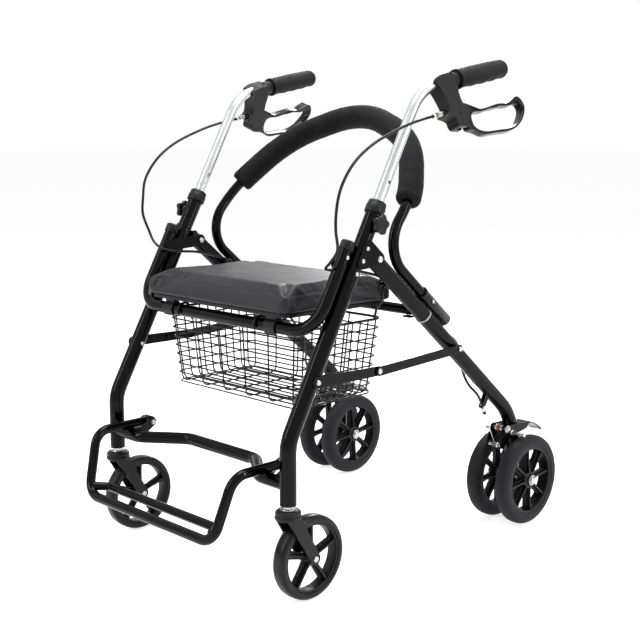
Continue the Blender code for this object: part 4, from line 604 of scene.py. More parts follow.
# Basket: 3 mm steel wires spot-welded into a tapered box under a 5 mm rim, dipped in black
# plastic. Two hooks hang it on the seat's front tube and two bails on the hinge brackets' rings.
# Plastic-dipped wire: satin black, with the thick even coat rounding every weld.
DIPPED, tree, shader, place = surface("black plastic dipped wire", "0B0B0C", 0.34, level=0.20)
coat = noise(tree, place, 300.0, 2.0)
raised(tree, shader, coat, 0.2, 0.0006)
patchy(tree, shader, coat, 0.26, 0.42, 0.0, 1.0)


def modifier_tree(name, sizes):
    """An empty geometry tree with named inputs, given as (name, socket kind, value)."""
    tree = bpy.data.node_groups.new(name, "GeometryNodeTree")
    tree.interface.new_socket("Geometry", in_out="INPUT", socket_type="NodeSocketGeometry")
    tree.interface.new_socket("Geometry", in_out="OUTPUT", socket_type="NodeSocketGeometry")
    for label, kind, value in sizes:
        socket = tree.interface.new_socket(label, in_out="INPUT", socket_type=kind)
        if value is not None:
            socket.default_value = value
    return tree, add(tree, "NodeGroupInput"), add(tree, "NodeGroupOutput")


def grown(name, mesh, tree, sizes):
    """The plain mesh that a geometry tree makes from a starting mesh."""
    data = bpy.data.meshes.new(name)
    mesh.to_mesh(data)
    mesh.free()
    seed = bpy.data.objects.new(name, data)
    bpy.context.scene.collection.objects.link(seed)
    modifier = seed.modifiers.new("form", "NODES")
    modifier.node_group = tree
    keys = {item.name: item.identifier for item in tree.interface.items_tree if item.in_out == "INPUT"}
    for label, value in sizes.items():
        modifier[keys[label]] = value
    graph = bpy.context.evaluated_depsgraph_get()
    plain = bpy.data.meshes.new_from_object(seed.evaluated_get(graph))
    seed.modifiers.remove(modifier)
    bpy.data.objects.remove(seed)
    made = bmesh.new()
    made.from_mesh(plain)
    bpy.data.meshes.remove(plain)
    return made


# Wires along every edge of a starting mesh: a round section swept along each run.
wires, given, out = modifier_tree(
    "wires along edges",
    [
        ("Radius", "NodeSocketFloat", 0.0015), ("Sides", "NodeSocketInt", 8),
        ("Material", "NodeSocketMaterial", None),
    ],
)
runs = add(wires, "GeometryNodeMeshToCurve", {}, {"Mesh": given.outputs["Geometry"]})
section = add(
    wires, "GeometryNodeCurvePrimitiveCircle", {"mode": "RADIUS"},
    {"Resolution": given.outputs["Sides"], "Radius": given.outputs["Radius"]},
)
swept = add(
    wires, "GeometryNodeCurveToMesh", {},
    {"Curve": runs.outputs[0], "Profile Curve": section.outputs[0], "Fill Caps": True},
)
soft = add(wires, "GeometryNodeSetShadeSmooth", {}, {"Geometry": swept.outputs[0]})
real = add(wires, "GeometryNodeRealizeInstances", {}, {"Geometry": soft.outputs[0]})
dressed = add(
    wires, "GeometryNodeSetMaterial", {},
    {"Geometry": real.outputs[0], "Material": given.outputs["Material"]},
)
wires.links.new(dressed.outputs[0], out.inputs["Geometry"])


def line(mesh, points, loop=False):
    """A run of edges through points, for a wire."""
    dots = [mesh.verts.new(p) for p in points]
    for a, b in zip(dots, dots[1:]):
        mesh.edges.new((a, b))
    if loop:
        mesh.edges.new((dots[-1], dots[0]))


def wire_form(runs, radius, sides, material):
    """One mesh of wires along runs of points. A run ends in True where it closes."""
    mesh = bmesh.new()
    for points, loop in runs:
        line(mesh, points, loop)
    return grown("wires", mesh, wires, {"Radius": radius, "Sides": sides, "Material": material})


def merged(first, *others):
    """One mesh with the faces of all."""
    for other in others:
        data = bpy.data.meshes.new("joined")
        other.to_mesh(data)
        other.free()
        first.from_mesh(data)
        bpy.data.meshes.remove(data)
    return first


TOP_Z, LOW_Z = 0.440, 0.302
BASKET_FRONT, BASKET_BACK = 0.048, 0.258
BASKET_MID = (BASKET_FRONT + BASKET_BACK) / 2
WIRE_R = 0.0015
INSIDE = 2.4 * WIRE_R  # how far the upright wires lie within the level ones


def basket_at(a, b, share, off=0.0):
    """A point on the basket's wall: a across and b along from -1 to 1, share down from the rim."""
    half = 0.182 + (0.166 - 0.182) * share - off
    deep = (BASKET_BACK - BASKET_FRONT) / 2 - 0.010 * share - off
    return Vector((a * half, BASKET_MID + b * deep, TOP_Z + (LOW_Z - TOP_Z) * share))


def basket_hoop(share, off=0.0, round_by=0.018):
    """A level wire round the basket with rounded corners."""
    flat = [basket_at(a, b, share, off) for a, b in ((-1, -1), (1, -1), (1, 1), (-1, 1))]
    made = []
    for before, corner, after in zip(flat[-1:] + flat[:-1], flat, flat[1:] + flat[:1]):
        back, ahead = (before - corner).normalized(), (after - corner).normalized()
        arc = bent([corner + back * 0.05, corner, corner + ahead * 0.05], [round_by], 15)
        made += arc[1:-1]
    return made


runs = []
for i in range(1, 9):
    runs.append((basket_hoop(i / 8), True))
for i in range(6):
    a = -0.94 + 1.88 * i / 5
    points = [basket_at(a, b, share, INSIDE) for b, share in ((-1, 0), (-1, 1), (1, 1), (1, 0))]
    runs.append((bent(points, [0.012, 0.012], 15), False))
for i in range(10):
    b = -0.88 + 1.76 * i / 9
    points = [basket_at(a, b, share, INSIDE) for a, share in ((-1, 0), (-1, 1), (1, 1), (1, 0))]
    for low_corner in points[1:3]:
        low_corner.z += 0.0028
    runs.append((bent(points, [0.012, 0.012], 15), False))
grid = wire_form(runs, WIRE_R, 8, DIPPED)

runs = [(basket_hoop(0.0, 0.0, 0.022), True)]
for side, sign in SIDES:
    eye = 0.0155 / 2
    start = Vector((sign * 0.182, BASKET_BACK - 0.024, TOP_Z))
    centre = Vector((sign * 0.209, RING.y, RING.z))
    points = [
        start, start + Vector((sign * 0.006, -0.001, 0.020)),
        centre + Vector((-sign * 0.004, 0.004, -0.030)),
    ]
    loop = [
        centre + Vector((0, math.cos(math.radians(t)) * eye, math.sin(math.radians(t)) * eye))
        for t in range(-75, 260, 15)
    ]
    runs.append((bent([points[0], points[1], points[2], loop[0]], [0.010, 0.012], 15) + loop[1:], False))
    x = sign * 0.105
    reach = TUBE_R + 0.0008 + 0.0025
    hook = [Vector((x, BASKET_FRONT, TOP_Z - 0.012)), Vector((x, BASKET_FRONT, TOP_Z + 0.004))]
    hook += [
        Vector((
            x, SEAT_BAR.y + reach * math.cos(math.radians(t)),
            SEAT_BAR.z + reach * math.sin(math.radians(t)),
        ))
        for t in range(10, 220, 15)
    ]
    runs.append((hook, False))
rim = wire_form(runs, 0.0024, 10, DIPPED)
make("wire_basket", merged(grid, rim), DIPPED, "front_frame", "wire_black", "basket", smooth=60)


# Casters: a nylon fork on a threaded zinc stem, a bearing cup with a bright race, and a five-spoke
# nylon wheel with a polyurethane tyre cast round it, glossier than the rear wheels' tyres.
CASTER_AXLE = Vector((0, 0.0135, 0.0721))

# Polyurethane tyre: smooth, near black, a soft shine and fine flow lines round the tread.
URETHANE, tree, shader, place = surface("black polyurethane tyre", "101012", 0.30, level=0.20)
swirl = noise(tree, place, 55.0, 5.0, 0.6)
patchy(tree, shader, swirl, 0.24, 0.42)
raised(tree, shader, swirl, 0.08, 0.001)

# The same shape set a number of times round the x axis, as spokes, lobes and ribs are.
round_x, given, out = modifier_tree(
    "repeat round x",
    [
        ("Count", "NodeSocketInt", 5), ("Start", "NodeSocketFloat", 0.0),
        ("Material", "NodeSocketMaterial", None),
    ],
)
spots = add(
    round_x, "GeometryNodeMeshLine", {"mode": "OFFSET"},
    {"Count": given.outputs["Count"], "Offset": (0, 0, 0)},
)
which = add(round_x, "GeometryNodeInputIndex")
share = add(
    round_x, "ShaderNodeMath", {"operation": "DIVIDE"}, {0: which.outputs[0], 1: given.outputs["Count"]}
)
angle = add(
    round_x, "ShaderNodeMath", {"operation": "MULTIPLY_ADD"},
    {0: share.outputs[0], 1: 2 * math.pi, 2: given.outputs["Start"]},
)
turn_x = add(round_x, "ShaderNodeCombineXYZ", {}, {"X": angle.outputs[0]})
set_out = add(
    round_x, "GeometryNodeInstanceOnPoints", {},
    {"Points": spots.outputs[0], "Instance": given.outputs["Geometry"], "Rotation": turn_x.outputs[0]},
)
real = add(round_x, "GeometryNodeRealizeInstances", {}, {"Geometry": set_out.outputs[0]})
dressed = add(
    round_x, "GeometryNodeSetMaterial", {},
    {"Geometry": real.outputs[0], "Material": given.outputs["Material"]},
)
round_x.links.new(dressed.outputs[0], out.inputs["Geometry"])


def spoke(rows):
    """A ribbed spoke that points up from the origin, from (reach, half width, half depth) rows."""
    rings = []
    for reach, wide, deep in rows:
        web = deep * 0.30
        flat = [
            (-web, wide), (-web, wide * 0.28), (-deep, wide * 0.28), (-deep, -wide * 0.28),
            (-web, -wide * 0.28), (-web, -wide),
        ]
        flat += [
            (web, -wide), (web, -wide * 0.28), (deep, -wide * 0.28), (deep, wide * 0.28),
            (web, wide * 0.28), (web, wide),
        ]
        rings.append([Vector((x, y, reach)) for x, y in flat])
    return skin(rings)


def moved(mesh, way):
    """The mesh, carried along a way."""
    bmesh.ops.translate(mesh, verts=mesh.verts, vec=way)
    return mesh


for side, sign in SIDES:
    x = sign * TRACK
    stem = Vector((x, STEM_Y, 0))
    crown = [
        (0.1485, 0.0180), (0.1486, 0.0208), (0.1494, 0.0220), (0.1515, 0.0225), (0.1540, 0.0225),
        (0.1548, 0.0216), (0.1552, 0.0206),
    ]
    crown += [
        (0.1570, 0.0206), (0.1578, 0.0214), (0.1600, 0.0216), (0.1622, 0.0208), (0.1640, 0.0186),
        (0.1648, 0.0150), (0.1650, 0.0090), (0.1650, 0.0002),
    ]
    head = turned([(0.1484, 0.0002), *crown], stem, (0, 0, 1), 56)
    inside, outside = 0.0145, 0.0185
    arm = [
        (CASTER_AXLE.y, CASTER_AXLE.z, 0.0104), (-0.0420, 0.1505, 0.0044), (-0.0235, 0.1505, 0.0044),
        (-0.0160, 0.1081, 0.004),
    ]
    for edge in (-1, 1):
        plate(hull(arm), x + edge * inside, x + edge * outside, mesh=head)
    deck = [(-0.0460, 0.1480), (-0.0195, 0.1480), (-0.0195, 0.1515), (-0.0460, 0.1515)]
    plate(deck, x - 0.0175, x + 0.0175, mesh=head)
    make(
        f"{side}_fork_moulding", head, PLASTIC, f"{side}_caster_fork", "plastic_black",
        f"{side}_caster_fork", bevel=0.0009,
    )

    race = turned(
        [(0.1649, 0.0002), (0.1649, 0.0125), (0.1656, 0.0128), (0.1664, 0.0122), (0.1665, 0.0098)], stem,
        (0, 0, 1), 40,
    )
    turned(
        [(0.1665, 0.0002), (0.1665, 0.0098), (0.1712, 0.0098), (0.1716, 0.0086), (0.1717, 0.0002)], stem,
        (0, 0, 1), 6, mesh=race,
    )
    for edge in (-1, 1):
        hub = Vector((x + edge * outside, CASTER_AXLE.y, CASTER_AXLE.z))
        turned(
            [(-0.001, 0.0002), (-0.001, 0.0052), (0.0010, 0.0052), (0.0017, 0.0044), (0.0019, 0.0002)], hub,
            (edge, 0, 0), 6 if edge < 0 else 28, mesh=race,
        )
    make(f"{side}_stem_nut", race, ZINC, f"{side}_caster_fork", "hardware_zinc", bevel=0.0003)

    hub = at_x(x, CASTER_AXLE)
    body = f"{side}_caster_wheel"
    tyre = [
        (-0.0100, 0.0595), (-0.0118, 0.0602), (-0.0127, 0.0622), (-0.0129, 0.0650), (-0.0124, 0.0676),
        (-0.0108, 0.0700), (-0.0082, 0.0716), (-0.0050, 0.0720), (0, 0.0721),
    ]
    tyre = tyre + [(-a, r) for a, r in reversed(tyre[:-1])]
    make(
        f"{side}_caster_tyre", turned(tyre, hub, (1, 0, 0), 96, loop=True), URETHANE, body, "tyre_rubber",
        body,
    )
    arms = grown(
        "spokes", spoke([(0.0085, 0.0070, 0.0110), (0.0200, 0.0056, 0.0098), (0.0580, 0.0078, 0.0092)]),
        round_x, {"Count": 5, "Start": 0.0, "Material": PLASTIC},
    )
    moved(arms, hub)
    rim = [
        (-0.0108, 0.0560), (-0.0112, 0.0575), (-0.0108, 0.0598), (0.0108, 0.0598), (0.0112, 0.0575),
        (0.0108, 0.0560), (0.0085, 0.0552), (-0.0085, 0.0552),
    ]
    boss = [
        (-0.0122, 0.0038), (-0.0126, 0.0045), (-0.0126, 0.0102), (-0.0120, 0.0110), (-0.004, 0.0124),
        (0.004, 0.0124), (0.0120, 0.0110), (0.0126, 0.0102), (0.0126, 0.0045), (0.0122, 0.0038),
    ]
    centre = merged(
        turned(rim, hub, (1, 0, 0), 96, loop=True), turned(boss, hub, (1, 0, 0), 40, loop=True), arms
    )
    make(f"{side}_caster_centre", centre, PLASTIC, body, "plastic_black", bevel=0.0005)


# Rear legs: the same enamelled tube, bolted at the hinge, bent down to stand between each pair of
# wheels. A welded lug holds the brake cable's ferrule, and two ears hold the brake's crank.
REAR_AXLE = Vector((0, 0.5796, 0.08923))
BRAKE = Vector((0, 0.538, 0.1946))
for side, sign in SIDES:
    x = sign * TRACK
    corner = HINGE + REAR_WAY * ((REAR_AXLE.y - HINGE.y) / REAR_WAY.y)
    leg = tube(
        bent([at_x(x, HINGE - REAR_WAY * 0.012), at_x(x, corner), (x, REAR_AXLE.y, 0.0732)], [0.124], 3),
        LEG_R, 40,
    )
    root = rear_leg_at(0.4958)
    plate(hull([(root.y, root.z, 0.006), (0.4775, 0.2495, 0.0055)]), x - 0.0045, x + 0.0045, mesh=leg)
    for edge in (-1, 1):
        ear = hull([(BRAKE.y, BRAKE.z, 0.0055), (REAR_AXLE.y - 0.006, BRAKE.z + 0.004, 0.006)])
        plate(ear, x + edge * 0.0085, x + edge * 0.0104, mesh=leg)
    make(
        f"{side}_rear_leg_tube", leg, ENAMEL, "rear_frame", "frame_black", f"{side}_rear_leg", bevel=0.0005,
        smooth=50,
    )

    inner = x - sign * LEG_R
    shelf = [(0.2768, 0.4426), (0.3008, 0.4426), (0.3022, 0.4440), (0.3008, 0.4456), (0.2768, 0.4456)]
    rest = plate(shelf, inner + sign * 0.002, inner - sign * 0.0163)
    make(f"{side}_seat_shelf", rest, ENAMEL, "rear_frame", "frame_black", f"{side}_seat_rest", bevel=0.0005)


# Rear wheels: two on each side of each leg on one axle bolt. Eight-spoked nylon centres carry soft
# tyres; spacers keep the wheels off the leg and acorn nuts close the bolt's ends.
# Moulded thermoplastic rubber: matt charcoal, faintly mottled, with a dull sheen on its shoulders.
RUBBER, tree, shader, place = surface("matt thermoplastic rubber tyre", "1C1C1E", 0.62, level=0.18)
mottle = noise(tree, place, 40.0, 6.0, 0.65)
toned(tree, shader, mottle, "17171A", "212124")
pores = noise(tree, place, 900.0, 3.0)
raised(tree, shader, pores, 0.3, 0.0004)
patchy(tree, shader, mottle, 0.52, 0.70)

for side, sign in SIDES:
    for where, offset in (("inner", -0.035), ("outer", 0.035)):
        hub = at_x(sign * (TRACK + offset), REAR_AXLE)
        body = f"{side}_{where}_rear_wheel"
        tyre = [
            (-0.0112, 0.0664), (-0.0132, 0.0670), (-0.0143, 0.0690), (-0.0145, 0.0730), (-0.0142, 0.0775),
            (-0.0134, 0.0815),
        ]
        tyre += [(-0.0119, 0.0848), (-0.0097, 0.0871), (-0.0068, 0.0885), (-0.0035, 0.0891), (0, 0.0892)]
        tyre += [(-a, r) for a, r in reversed(tyre[:-1])]
        make(
            f"{body}_tyre", turned(tyre, hub, (1, 0, 0), 120, loop=True), RUBBER, body, "tyre_rubber", body
        )
        arms = grown(
            "spokes",
            spoke([
                (0.0120, 0.0076, 0.0115), (0.0260, 0.0058, 0.0100), (0.0450, 0.0060, 0.0094),
                (0.0640, 0.0092, 0.0098),
            ]),
            round_x, {"Count": 8, "Start": 0.10, "Material": PLASTIC},
        )
        moved(arms, hub)
        rim = [
            (-0.0122, 0.0618), (-0.0128, 0.0626), (-0.0130, 0.0650), (-0.0126, 0.0668), (0.0126, 0.0668),
            (0.0130, 0.0650), (0.0128, 0.0626), (0.0122, 0.0618), (0.0104, 0.0612), (-0.0104, 0.0612),
        ]
        boss = [
            (-0.0141, 0.0043), (-0.0145, 0.0050), (-0.0145, 0.0106), (-0.0138, 0.0114), (-0.0112, 0.0118),
            (-0.0104, 0.0160), (-0.0092, 0.0170),
        ]
        boss += [(-a, r) for a, r in reversed(boss)]
        centre = merged(
            turned(rim, hub, (1, 0, 0), 120, loop=True), turned(boss, hub, (1, 0, 0), 48, loop=True), arms
        )
        make(f"{body}_centre", centre, PLASTIC, body, "plastic_black", bevel=0.0006)

    middle = at_x(sign * TRACK, REAR_AXLE)
    axle = turned([(-0.0495, 0.0040), (0.0495, 0.0040)], middle, (1, 0, 0), 24)
    for edge in (-1, 1):
        turned(
            [
                (0.0112, 0.0042), (0.0112, 0.0068), (0.0118, 0.0072), (0.0200, 0.0072), (0.0204, 0.0068),
                (0.0204, 0.0042),
            ],
            middle, (edge, 0, 0), 32, mesh=axle,
        )
        turned(
            [(0.0494, 0.0042), (0.0494, 0.0098), (0.0502, 0.0100), (0.0506, 0.0098), (0.0506, 0.0042)],
            middle, (edge, 0, 0), 36, mesh=axle,
        )
        turned(
            [(0.0503, 0.0042), (0.0503, 0.0080), (0.0530, 0.0080), (0.0533, 0.0070)], middle, (edge, 0, 0),
            6, mesh=axle,
        )
        turned(
            [
                (0.0528, 0.0002), (0.0528, 0.0070), (0.0537, 0.0068), (0.0546, 0.0056), (0.0552, 0.0036),
                (0.0554, 0.0002),
            ],
            middle, (edge, 0, 0), 32, mesh=axle,
        )
    make(f"{side}_axle_bolt", axle, ZINC, "rear_frame", "hardware_zinc", f"{side}_rear_axle", bevel=0.0003)


# Backrest sockets: short sleeves welded along the rear legs, each with a spring button that snaps
# into the backrest tube and locks it at its height.
SOCKET = rear_leg_at(0.343, 0.027)
SOCKET_LONG = 0.092
THIN_R = 0.0095
for side, sign in SIDES:
    low = at_x(sign * TRACK, SOCKET)
    bore, outer = THIN_R + 0.0004, THIN_R + 0.0025
    flange = outer + 0.0007
    end = SOCKET_LONG
    profile = [
        (0, 0.004), (0, outer - 0.0010), (0.0012, outer), (end - 0.0078, outer),
        (end - 0.0068, flange - 0.0004),
    ]
    profile += [
        (end - 0.0060, flange), (end - 0.0012, flange), (end - 0.0002, flange - 0.0009),
        (end, bore + 0.0006), (end - 0.0008, bore), (0.003, bore), (0.003, 0.004),
    ]
    sleeve = turned(profile, low, -REAR_WAY, 40, loop=True)
    seam = []
    for along, up in ((0.004, -0.0155), (end - 0.010, -0.0155), (end - 0.010, -0.0105), (0.004, -0.0105)):
        spot = SOCKET - REAR_WAY * along + REAR_UP * up
        seam.append((spot.y, spot.z))
    plate(seam, low.x - 0.004, low.x + 0.004, mesh=sleeve)
    make(
        f"{side}_socket_sleeve", sleeve, ENAMEL, "rear_frame", "frame_black", f"{side}_backrest_socket",
        bevel=0.0004,
    )
    button = at_x(low.x + sign * (outer - 0.001), SOCKET - REAR_WAY * 0.064)
    pin = turned(
        [(0, 0.0002), (0, 0.0032), (0.0022, 0.0032), (0.0030, 0.0026), (0.0034, 0.0014), (0.0035, 0.0002)],
        button, (sign, 0, 0), 24,
    )
    make(f"{side}_socket_button", pin, ZINC, "rear_frame", "hardware_zinc")


# Backrest: one 19 mm tube that rises out of both sockets and arches behind the user's back, with a
# sleeve of foam pushed over its curve and held by its own grip, slid a little to the user's left.
LOW_BEND = rear_leg_at(0.1748, 0.027)
BACK_RISE = Vector((0, 0.386, 0.799)) - LOW_BEND
half_path = [at_x(TRACK, SOCKET - REAR_WAY * 0.006)]
half_path += [
    at_x(x, LOW_BEND + BACK_RISE * share)
    for x, share in ((TRACK, 0), (TRACK * 0.985, 0.376), (TRACK * 0.688, 0.81), (TRACK * 0.147, 1.0))
]
back_path = half_path + [Vector((-p.x, p.y, p.z)) for p in reversed(half_path)]
back_radii = [0.063, 0.17, 0.21, 0.165]
back_line = bent(back_path, back_radii + back_radii[::-1], 3)
make("backrest_bow", tube(back_line, THIN_R, 32), ENAMEL, "backrest", "frame_black", "backrest_tube")


def even(points, step):
    """The same line with a point about every step."""
    points = [Vector(p) for p in points]
    reach = [0.0]
    for a, b in zip(points, points[1:]):
        reach.append(reach[-1] + (b - a).length)
    count = max(2, round(reach[-1] / step))
    made, j = [], 0
    for i in range(count + 1):
        goal = reach[-1] * i / count
        while j < len(points) - 2 and reach[j + 1] < goal:
            j += 1
        made.append(points[j].lerp(points[j + 1], (goal - reach[j]) / max(reach[j + 1] - reach[j], 1e-9)))
    return made


# Closed-cell sponge rubber: dull black, lit softly on its skin, with shallow pores about 1 mm wide
# and faint bands where it was squeezed on to the tube.
FOAM, tree, shader, place = surface("closed cell sponge rubber", "161617", 0.80, ior=1.45, level=0.12)
shader.inputs["Sheen Weight"].default_value = 0.03
shader.inputs["Sheen Roughness"].default_value = 0.6
cells = add(tree, "ShaderNodeTexVoronoi", {}, {"Vector": place, "Scale": 700.0})
waves = noise(tree, place, 45.0, 4.0)
toned(tree, shader, waves, "111112", "1C1C1E")
raised(tree, shader, cells.outputs["Distance"], 0.5, 0.0006)
raised(tree, shader, waves, 0.25, 0.003)

foam_line = even(
    [p for p in back_line if p.z > LOW_BEND.z + BACK_RISE.z * (0.34 if p.x > 0 else 0.42)], 0.003
)
spots = stations(foam_line)
rings = [ring(*spot, THIN_R + GAP, 40) for spot in reversed(spots)]
whole = len(spots) - 1
for i, (centre, across, up) in enumerate(spots):
    edge = min(i, whole - i)
    full = 0.0225 - (0.0030, 0.0011, 0.0002)[edge] if edge < 3 else 0.0225
    full *= 1 + 0.007 * math.sin(i * 0.9) * math.sin(i * 0.23 + 1.0)
    rings.append(ring(centre, across, up, full, 40))
sleeve = make(
    "foam_sleeve", skin(rings, loop=True), FOAM, "backrest", "foam_black", "backrest_foam", smooth=60
)


# Seat: a plastic board on two clips that turn on the front bow, with a thin cross tube behind that
# rests on the rear legs, and a foam pad on the board, sewn into a vinyl cover with boxed sides.
BOARD_LOW, BOARD_TOP = 0.4662, 0.4727
SEAT_Y = 0.002 + 0.276 / 2


def rounded(half_x, half_y, corner, steps=8):
    """Points round a level rectangle with rounded corners, about the seat's middle."""
    made = []
    for sx, sy, start in ((1, -1, -90), (1, 1, 0), (-1, 1, 90), (-1, -1, 180)):
        for i in range(steps + 1):
            turn = math.radians(start + 90 * i / steps)
            made.append((
                sx * (half_x - corner) + corner * math.cos(turn),
                SEAT_Y + sy * (half_y - corner) + corner * math.sin(turn),
            ))
    return made


outline = rounded(0.187, 0.126, 0.020)
board = skin([[Vector((x, y, z)) for x, y in outline] for z in (BOARD_LOW, BOARD_TOP)])
for x in (-0.140, 0.140):
    arc = [math.radians(-62 + i * 10) for i in range(31)]
    clip = [
        (SEAT_BAR.y + (TUBE_R + 0.0031) * math.cos(t), SEAT_BAR.z + (TUBE_R + 0.0031) * math.sin(t))
        for t in arc
    ]
    clip += [
        (SEAT_BAR.y + (TUBE_R + 0.0006) * math.cos(t), SEAT_BAR.z + (TUBE_R + 0.0006) * math.sin(t))
        for t in reversed(arc)
    ]
    plate(clip, x - 0.014, x + 0.014, mesh=board)
    foot = SEAT_BAR.z + TUBE_R + 0.0015
    plate(
        [
            (SEAT_BAR.y - 0.006, foot), (SEAT_BAR.y + 0.006, foot), (SEAT_BAR.y + 0.009, BOARD_LOW + 0.001),
            (SEAT_BAR.y - 0.009, BOARD_LOW + 0.001),
        ],
        x - 0.012, x + 0.012, mesh=board,
    )
make("seat_board_panel", board, PLASTIC, "seat", "plastic_black", "seat_board", bevel=0.0008)

REST = Vector((0, 0.2888, 0.4554))
rest = tube([(-0.221, REST.y, REST.z), (0.221, REST.y, REST.z)], THIN_R, 32, wall=0.0012, depth=0.02)
make("seat_cross_tube", rest, ENAMEL, "seat", "frame_black", "seat_rear_tube")
low = BOARD_LOW - 0.0023
for x in (-0.120, 0.120):
    strap = [
        (REST.y - 0.048, low), (REST.y - 0.008, low - 0.004), (REST.y - 0.002, REST.z + 0.004),
        (REST.y + 0.003, REST.z + 0.008),
    ]
    strap += [(REST.y + 0.001, low + 0.0008), (REST.y - 0.010, low + 0.002), (REST.y - 0.048, low + 0.002)]
    tab = plate(strap, x - 0.013, x + 0.013)
    make(f"seat_tab_{'left' if x > 0 else 'right'}", tab, ENAMEL, "seat", "frame_black", bevel=0.0006)
    screws = bmesh.new()
    for y in (REST.y - 0.040, REST.y - 0.022):
        turned(
            [(0, 0.0002), (0, 0.0042), (0.0008, 0.0040), (0.0017, 0.0028), (0.0020, 0.0002)],
            (x, y, low - 0.0001 - (0.0028 if y > REST.y - 0.03 else 0.0012)), (0, 0, -1), 24, mesh=screws,
        )
    make(f"seat_screws_{'left' if x > 0 else 'right'}", screws, ZINC, "seat", "hardware_zinc")

# Grained vinyl: a soft charcoal skin that catches the light broadly on its crown, with a pebble
# grain under 1 mm, drawn a little coarser here, and broad creases from sitting.
VINYL, tree, shader, place = surface("grained black vinyl cover", "1E1E21", 0.44, ior=1.52, level=0.25)
pebble = add(
    tree, "ShaderNodeTexVoronoi", {"feature": "SMOOTH_F1"},
    {"Vector": place, "Scale": 620.0, "Smoothness": 0.6},
)
crease = noise(tree, place, 16.0, 5.0, 0.55)
patchy(tree, shader, crease, 0.38, 0.52)
toned(tree, shader, crease, "1B1B1E", "242427", 0.25, 0.75)
raised(tree, shader, pebble.outputs["Distance"], 0.22, 0.0005)
raised(tree, shader, crease, 0.16, 0.006)

PAD_LOW, PAD_HIGH = 0.4732, 0.5060
PAD_HALF_X, PAD_HALF_Y = 0.199, 0.138
DRAWN_IN = 0.005  # how far each side's middle is drawn in, so that the stuffing swells it straight
pad = bmesh.new()
rows = []
levels = [(0.965, 0.0), (0.992, 0.10), (1.0, 0.30), (1.0, 0.70), (0.994, 0.90), (0.975, 1.0)]
for share, height in levels:
    row = []
    for x, y in rounded(PAD_HALF_X - 0.003, PAD_HALF_Y - 0.003, 0.020, 10):
        drawn_x = DRAWN_IN * (1 - ((y - SEAT_Y) / PAD_HALF_Y) ** 2) * abs(x) / PAD_HALF_X
        drawn_y = DRAWN_IN * (1 - (x / PAD_HALF_X) ** 2) * abs(y - SEAT_Y) / PAD_HALF_Y
        px = (x - math.copysign(drawn_x, x)) * share
        py = SEAT_Y + ((y - SEAT_Y) - math.copysign(drawn_y, y - SEAT_Y)) * share
        row.append(Vector((px, py, PAD_LOW + (PAD_HIGH - PAD_LOW) * height)))
    rows.append(row)
skin(rows, mesh=pad)
shell = bpy.data.meshes.new("pad")
pad.to_mesh(shell)
pad.free()
padding = bpy.data.objects.new("pad", shell)
bpy.context.scene.collection.objects.link(padding)
remesh = padding.modifiers.new("voxels", "REMESH")
remesh.mode = "VOXEL"
remesh.voxel_size = 0.0045
graph = bpy.context.evaluated_depsgraph_get()
dense = bpy.data.meshes.new_from_object(padding.evaluated_get(graph))
padding.modifiers.clear()
padding.data = dense
before = [v.co.copy() for v in dense.vertices]
held = padding.vertex_groups.new(name="held")
held.add([v.index for v in dense.vertices if v.co.z < PAD_LOW + 0.003], 1.0, "REPLACE")
cloth = padding.modifiers.new("stuffing", "CLOTH")
cloth.settings.quality = 6
cloth.settings.mass = 0.3
cloth.settings.use_pressure = True
cloth.settings.uniform_pressure_force = 4.0
cloth.settings.tension_stiffness = 20
cloth.settings.compression_stiffness = 20
cloth.settings.bending_stiffness = 2.0
cloth.settings.effector_weights.gravity = 0
cloth.settings.vertex_group_mass = "held"
cloth.point_cache.frame_start = 1
cloth.point_cache.frame_end = 20
for frame_number in range(1, 21):
    bpy.context.scene.frame_set(frame_number)
graph = bpy.context.evaluated_depsgraph_get()
swollen = [v.co.copy() for v in padding.evaluated_get(graph).to_mesh().vertices]
padding.modifiers.clear()
bpy.context.scene.frame_set(1)
most = 0.012  # no spot of the cover swells further than this
for vertex, old, new in zip(dense.vertices, before, swollen):
    way = new - old
    vertex.co = old + way * min(1.0, most / max(way.length, 1e-9))

# The cover's seams pull the skin in: one along the top edge, one down each corner and one in the
# middle of the front, left of the user's middle.
body_mesh = bmesh.new()
body_mesh.from_mesh(dense)
bmesh.ops.subdivide_edges(body_mesh, edges=body_mesh.edges, cuts=1, use_grid_fill=True, smooth=0.6)
for _ in range(2):
    bmesh.ops.smooth_vert(
        body_mesh, verts=body_mesh.verts, factor=0.5, use_axis_x=True, use_axis_y=True, use_axis_z=True
    )
body_mesh.normal_update()
corner_seams = [(sx * 0.188, SEAT_Y + sy * 0.127) for sx in (-1, 1) for sy in (-1, 1)]
FRONT_SEAM = -0.062
for vertex in body_mesh.verts:
    x, y, z = vertex.co
    flank = min(1.0, max(0.0, (z - PAD_LOW - 0.001) / 0.004))
    depth = 0.0
    for sx, sy in corner_seams:
        off = abs((x - sx) * math.copysign(1, sy - SEAT_Y) - (y - sy) * math.copysign(1, sx)) / math.sqrt(2)
        if abs(x) > 0.170 and abs(y - SEAT_Y) > 0.110 and (x * sx > 0) and (
            (y - SEAT_Y) * (sy - SEAT_Y) > 0
        ):
            depth = max(depth, 0.0014 * math.exp(-((off / 0.0022) ** 2)))
    if y < 0.02:
        depth = max(depth, 0.0012 * math.exp(-(((x - FRONT_SEAM) / 0.0022) ** 2)))
    top_edge = math.exp(-(((z - (PAD_HIGH - 0.0035)) / 0.0020) ** 2)) * (1 if vertex.normal.z < 0.75 else 0)
    depth = max(depth * flank, 0.0009 * top_edge)
    vertex.co -= vertex.normal * depth
cushion = make("seat_pad", body_mesh, VINYL, "seat", "vinyl_black", "seat_cushion", smooth=180)
bpy.data.objects.remove(padding)


